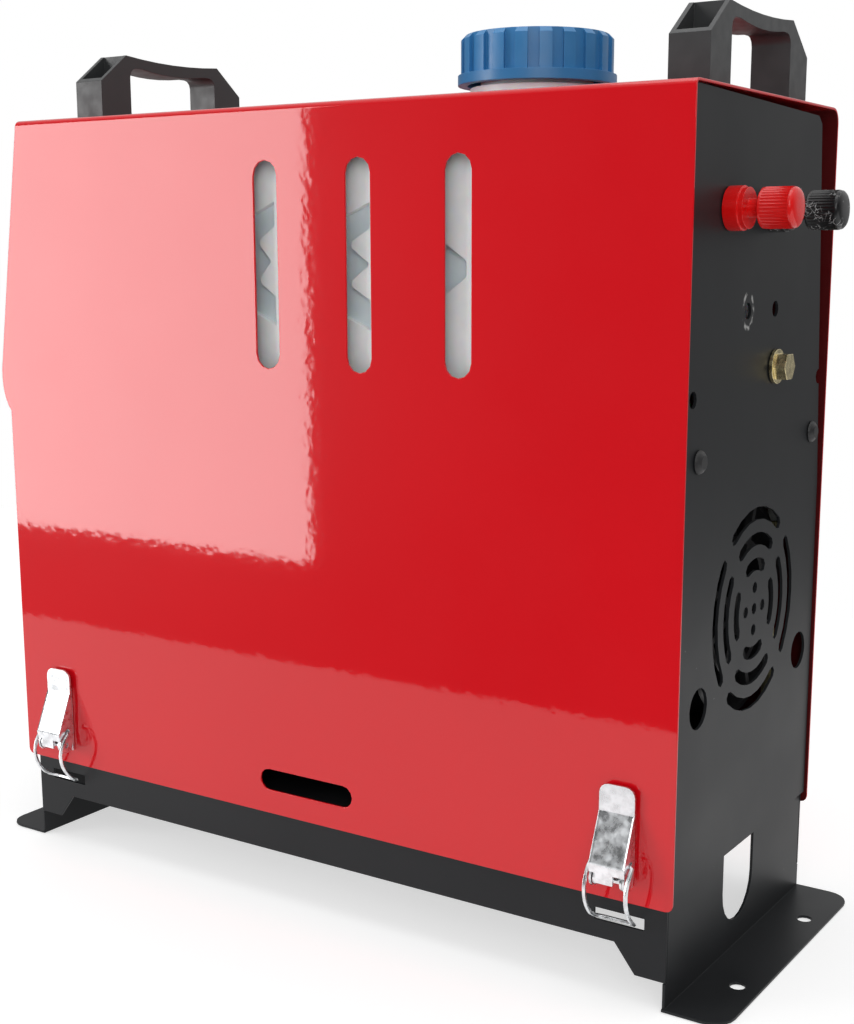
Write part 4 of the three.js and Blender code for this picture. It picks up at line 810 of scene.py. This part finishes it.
class HEATER_OT_heater_unit(bpy.types.Operator):
    """Finish the heater unit inside the case"""
    bl_idname = "heater.heater_unit"
    bl_label = "Heater unit"

    def execute(self, context):
        radius = context.scene.heater_edges.moulding / 2
        for node in (
            "heater_lower_casing", "heater_upper_casing", "heat_exchanger", "burner_tube",
            "glow_plug", "blower_housing", "blower_motor", "hot_air_fan",
            "combustion_rotor", "inlet_guard", "outlet_ring", "control_board",
            "combustion_air_stub", "exhaust_stub",
        ):
            finish_node(node, radius)
        return {"FINISHED"}


class HEATER_OT_fuel(bpy.types.Operator):
    """Finish the pump, filter, hoses and leads"""
    bl_idname = "heater.fuel"
    bl_label = "Fuel parts and leads"

    def execute(self, context):
        radius = context.scene.heater_edges.moulding / 2
        for node in (
            "dosing_pump", "pump_mount", "fuel_filter", "fuel_line_tank", "fuel_line_pump",
            "fuel_line_heater", "power_lead", "control_harness",
        ):
            finish_node(node, radius)
        return {"FINISHED"}


class HEATER_OT_stage(bpy.types.Operator):
    """Lay the pale floor and set the lamps and the camera"""
    bl_idname = "heater.stage"
    bl_label = "Stage"

    def execute(self, context):
        studio = context.scene.heater_studio
        lay_floor(studio)
        light_room(context.scene, studio)
        place_camera(context.scene, studio)
        return {"FINISHED"}


def shown_ray(tree):
    """1 for rays that show the background itself: straight, mirrored or through glass."""
    path = tree.nodes.new("ShaderNodeLightPath")
    total = path.outputs["Is Camera Ray"]
    for name in ("Is Glossy Ray", "Is Transmission Ray"):
        adder = tree.nodes.new("ShaderNodeMath")
        adder.operation = "MAXIMUM"
        tree.links.new(total, adder.inputs[0])
        tree.links.new(path.outputs[name], adder.inputs[1])
        total = adder.outputs["Value"]
    return total


def joined(tree, kind, first, second, factor=None):
    """Adds two shaders, or mixes them by a factor."""
    made = tree.nodes.new(kind)
    sources = (first, second) if factor is None else (factor, first, second)
    for socket, source in zip(made.inputs, sources):
        tree.links.new(source, socket)
    return made.outputs[0]


def flat_shader(tree, kind, **inputs):
    """A shader with constant inputs; a grey stands for three equal parts of a colour."""
    made = tree.nodes.new(kind)
    for name, value in inputs.items():
        made.inputs[name].default_value = (value,) * 3 + (1,) if name == "Color" else value
    return made


def mapped(tree, value, from_min=0.0, from_max=1.0, to_min=0.0, to_max=1.0):
    """Maps a value from one range to another; a socket may give the new range's start."""
    made = tree.nodes.new("ShaderNodeMapRange")
    tree.links.new(value, made.inputs["Value"])
    made.inputs["From Min"].default_value = from_min
    made.inputs["From Max"].default_value = from_max
    made.inputs["To Max"].default_value = to_max
    if isinstance(to_min, bpy.types.NodeSocket):
        tree.links.new(to_min, made.inputs["To Min"])
    else:
        made.inputs["To Min"].default_value = to_min
    return made.outputs["Result"]


def lay_floor(studio):
    """A pale table round the heater, with a glow that keeps its shadows light."""
    deselect()
    middle = (0, (studio.floor_back - studio.floor_front) / 2, -FLOOR_DROP)
    bpy.ops.mesh.primitive_plane_add(size=1, location=middle)
    floor = bpy.context.object
    floor.name = "floor"
    bpy.ops.transform.resize(value=(studio.floor_width, studio.floor_back + studio.floor_front, 1))
    bpy.ops.object.transform_apply(location=True, rotation=True, scale=True)
    material = bpy.data.materials.new("pale_floor")
    material.use_nodes = True
    tree = material.node_tree
    tree.nodes.clear()
    matt = flat_shader(tree, "ShaderNodeBsdfDiffuse", Color=studio.floor_matt)
    thin = flat_shader(tree, "ShaderNodeBsdfDiffuse", Color=studio.floor_shown)
    glow = flat_shader(tree, "ShaderNodeEmission", Strength=studio.floor_glow)
    shown = joined(tree, "ShaderNodeAddShader", thin.outputs[0], glow.outputs[0])
    surface = joined(tree, "ShaderNodeMixShader", matt.outputs[0], shown, shown_ray(tree))
    output = tree.nodes.new("ShaderNodeOutputMaterial")
    tree.links.new(surface, output.inputs["Surface"])
    floor.data.materials.append(material)


def add_lamp(name, place, turn, size, power):
    deselect()
    turn = [math.radians(part) for part in turn]
    bpy.ops.object.light_add(type="AREA", location=place, rotation=turn)
    lamp = bpy.context.object
    lamp.name = name
    lamp.data.shape = "RECTANGLE"
    lamp.data.size, lamp.data.size_y = size
    lamp.data.energy = power


def light_room(scene, studio):
    """White to the camera. Reflections see white overhead, and a horizon dimmest in front."""
    world = bpy.data.worlds.new("room")
    scene.world = world
    world.use_nodes = True
    tree = world.node_tree
    tree.nodes.clear()
    room = flat_shader(tree, "ShaderNodeBackground", Color=1, Strength=studio.ambient)
    white = flat_shader(tree, "ShaderNodeBackground", Color=1)
    gloss = flat_shader(tree, "ShaderNodeBackground", Color=1)
    way = tree.nodes.new("ShaderNodeSeparateXYZ")
    tree.links.new(tree.nodes.new("ShaderNodeTexCoord").outputs["Generated"], way.inputs[0])
    lift = mapped(tree, way.outputs["Y"], to_max=studio.back_lift)
    height = tree.nodes.new("ShaderNodeMath")
    height.operation = "ADD"
    tree.links.new(way.outputs["Z"], height.inputs[0])
    tree.links.new(lift, height.inputs[1])
    horizon = mapped(
        tree, way.outputs["Y"], to_min=studio.horizon_front, to_max=studio.horizon_back
    )
    brightness = mapped(
        tree, height.outputs["Value"], studio.white_from, studio.white_at, to_min=horizon
    )
    tree.links.new(brightness, gloss.inputs["Strength"])
    glossy = tree.nodes.new("ShaderNodeLightPath").outputs["Is Glossy Ray"]
    mirrored = joined(tree, "ShaderNodeMixShader", white.outputs[0], gloss.outputs[0], glossy)
    surface = joined(tree, "ShaderNodeMixShader", room.outputs[0], mirrored, shown_ray(tree))
    output = tree.nodes.new("ShaderNodeOutputWorld")
    tree.links.new(surface, output.inputs["Surface"])
    for name, place, turn, size, power in LAMPS:
        add_lamp(name, place, turn, size, getattr(studio, power))


def place_camera(scene, studio):
    """Sets the camera at the photograph's place, angle and reach."""
    camera = bpy.data.objects.new("camera", bpy.data.cameras.new("camera"))
    scene.collection.objects.link(camera)
    camera.location = CAMERA_PLACE
    camera.rotation_euler = (math.pi / 2 - studio.elevation, 0, studio.azimuth)
    lens = camera.data
    lens.sensor_fit = "HORIZONTAL"
    lens.sensor_width = SENSOR_WIDTH
    lens.lens = SENSOR_WIDTH * FOCAL_PIXELS / IMAGE_WIDTH
    lens.shift_x, lens.shift_y = (pixels / IMAGE_WIDTH for pixels in SHIFT_PIXELS)
    lens.clip_start = 10 * MM
    scene.camera = camera
    scene.view_settings.view_transform = "Standard"


class HEATER_PT_panel(bpy.types.Panel):
    """Lists the steps that dress the heater"""
    bl_idname = "HEATER_PT_panel"
    bl_label = "Diesel Air Heater"
    bl_space_type = "VIEW_3D"
    bl_region_type = "UI"
    bl_category = "Heater"

    def draw(self, context):
        for step in STEPS:
            self.layout.operator(step.bl_idname)
        for name in GROUPS:
            group = getattr(context.scene, name)
            for key in group.__annotations__:
                self.layout.prop(group, key)


GROUPS = {
    "heater_finish": HeaterFinish,
    "heater_edges": HeaterEdges,
    "heater_studio": HeaterStudio,
}
STEPS = (
    HEATER_OT_finishes,
    HEATER_OT_cover,
    HEATER_OT_handles,
    HEATER_OT_latches,
    HEATER_OT_case,
    HEATER_OT_tank,
    HEATER_OT_fittings,
    HEATER_OT_controller,
    HEATER_OT_heater_unit,
    HEATER_OT_fuel,
    HEATER_OT_stage,
)
CLASSES = (*GROUPS.values(), *STEPS, HEATER_PT_panel)


def register():
    for each in CLASSES:
        bpy.utils.register_class(each)
    for name, group in GROUPS.items():
        setattr(bpy.types.Scene, name, PointerProperty(type=group))


def unregister():
    for name in GROUPS:
        delattr(bpy.types.Scene, name)
    for each in reversed(CLASSES):
        bpy.utils.unregister_class(each)


def main():
    register()
    for step in STEPS:
        family, verb = step.bl_idname.split(".")
        getattr(getattr(bpy.ops, family), verb)()


if __name__ == "__main__":
    main()
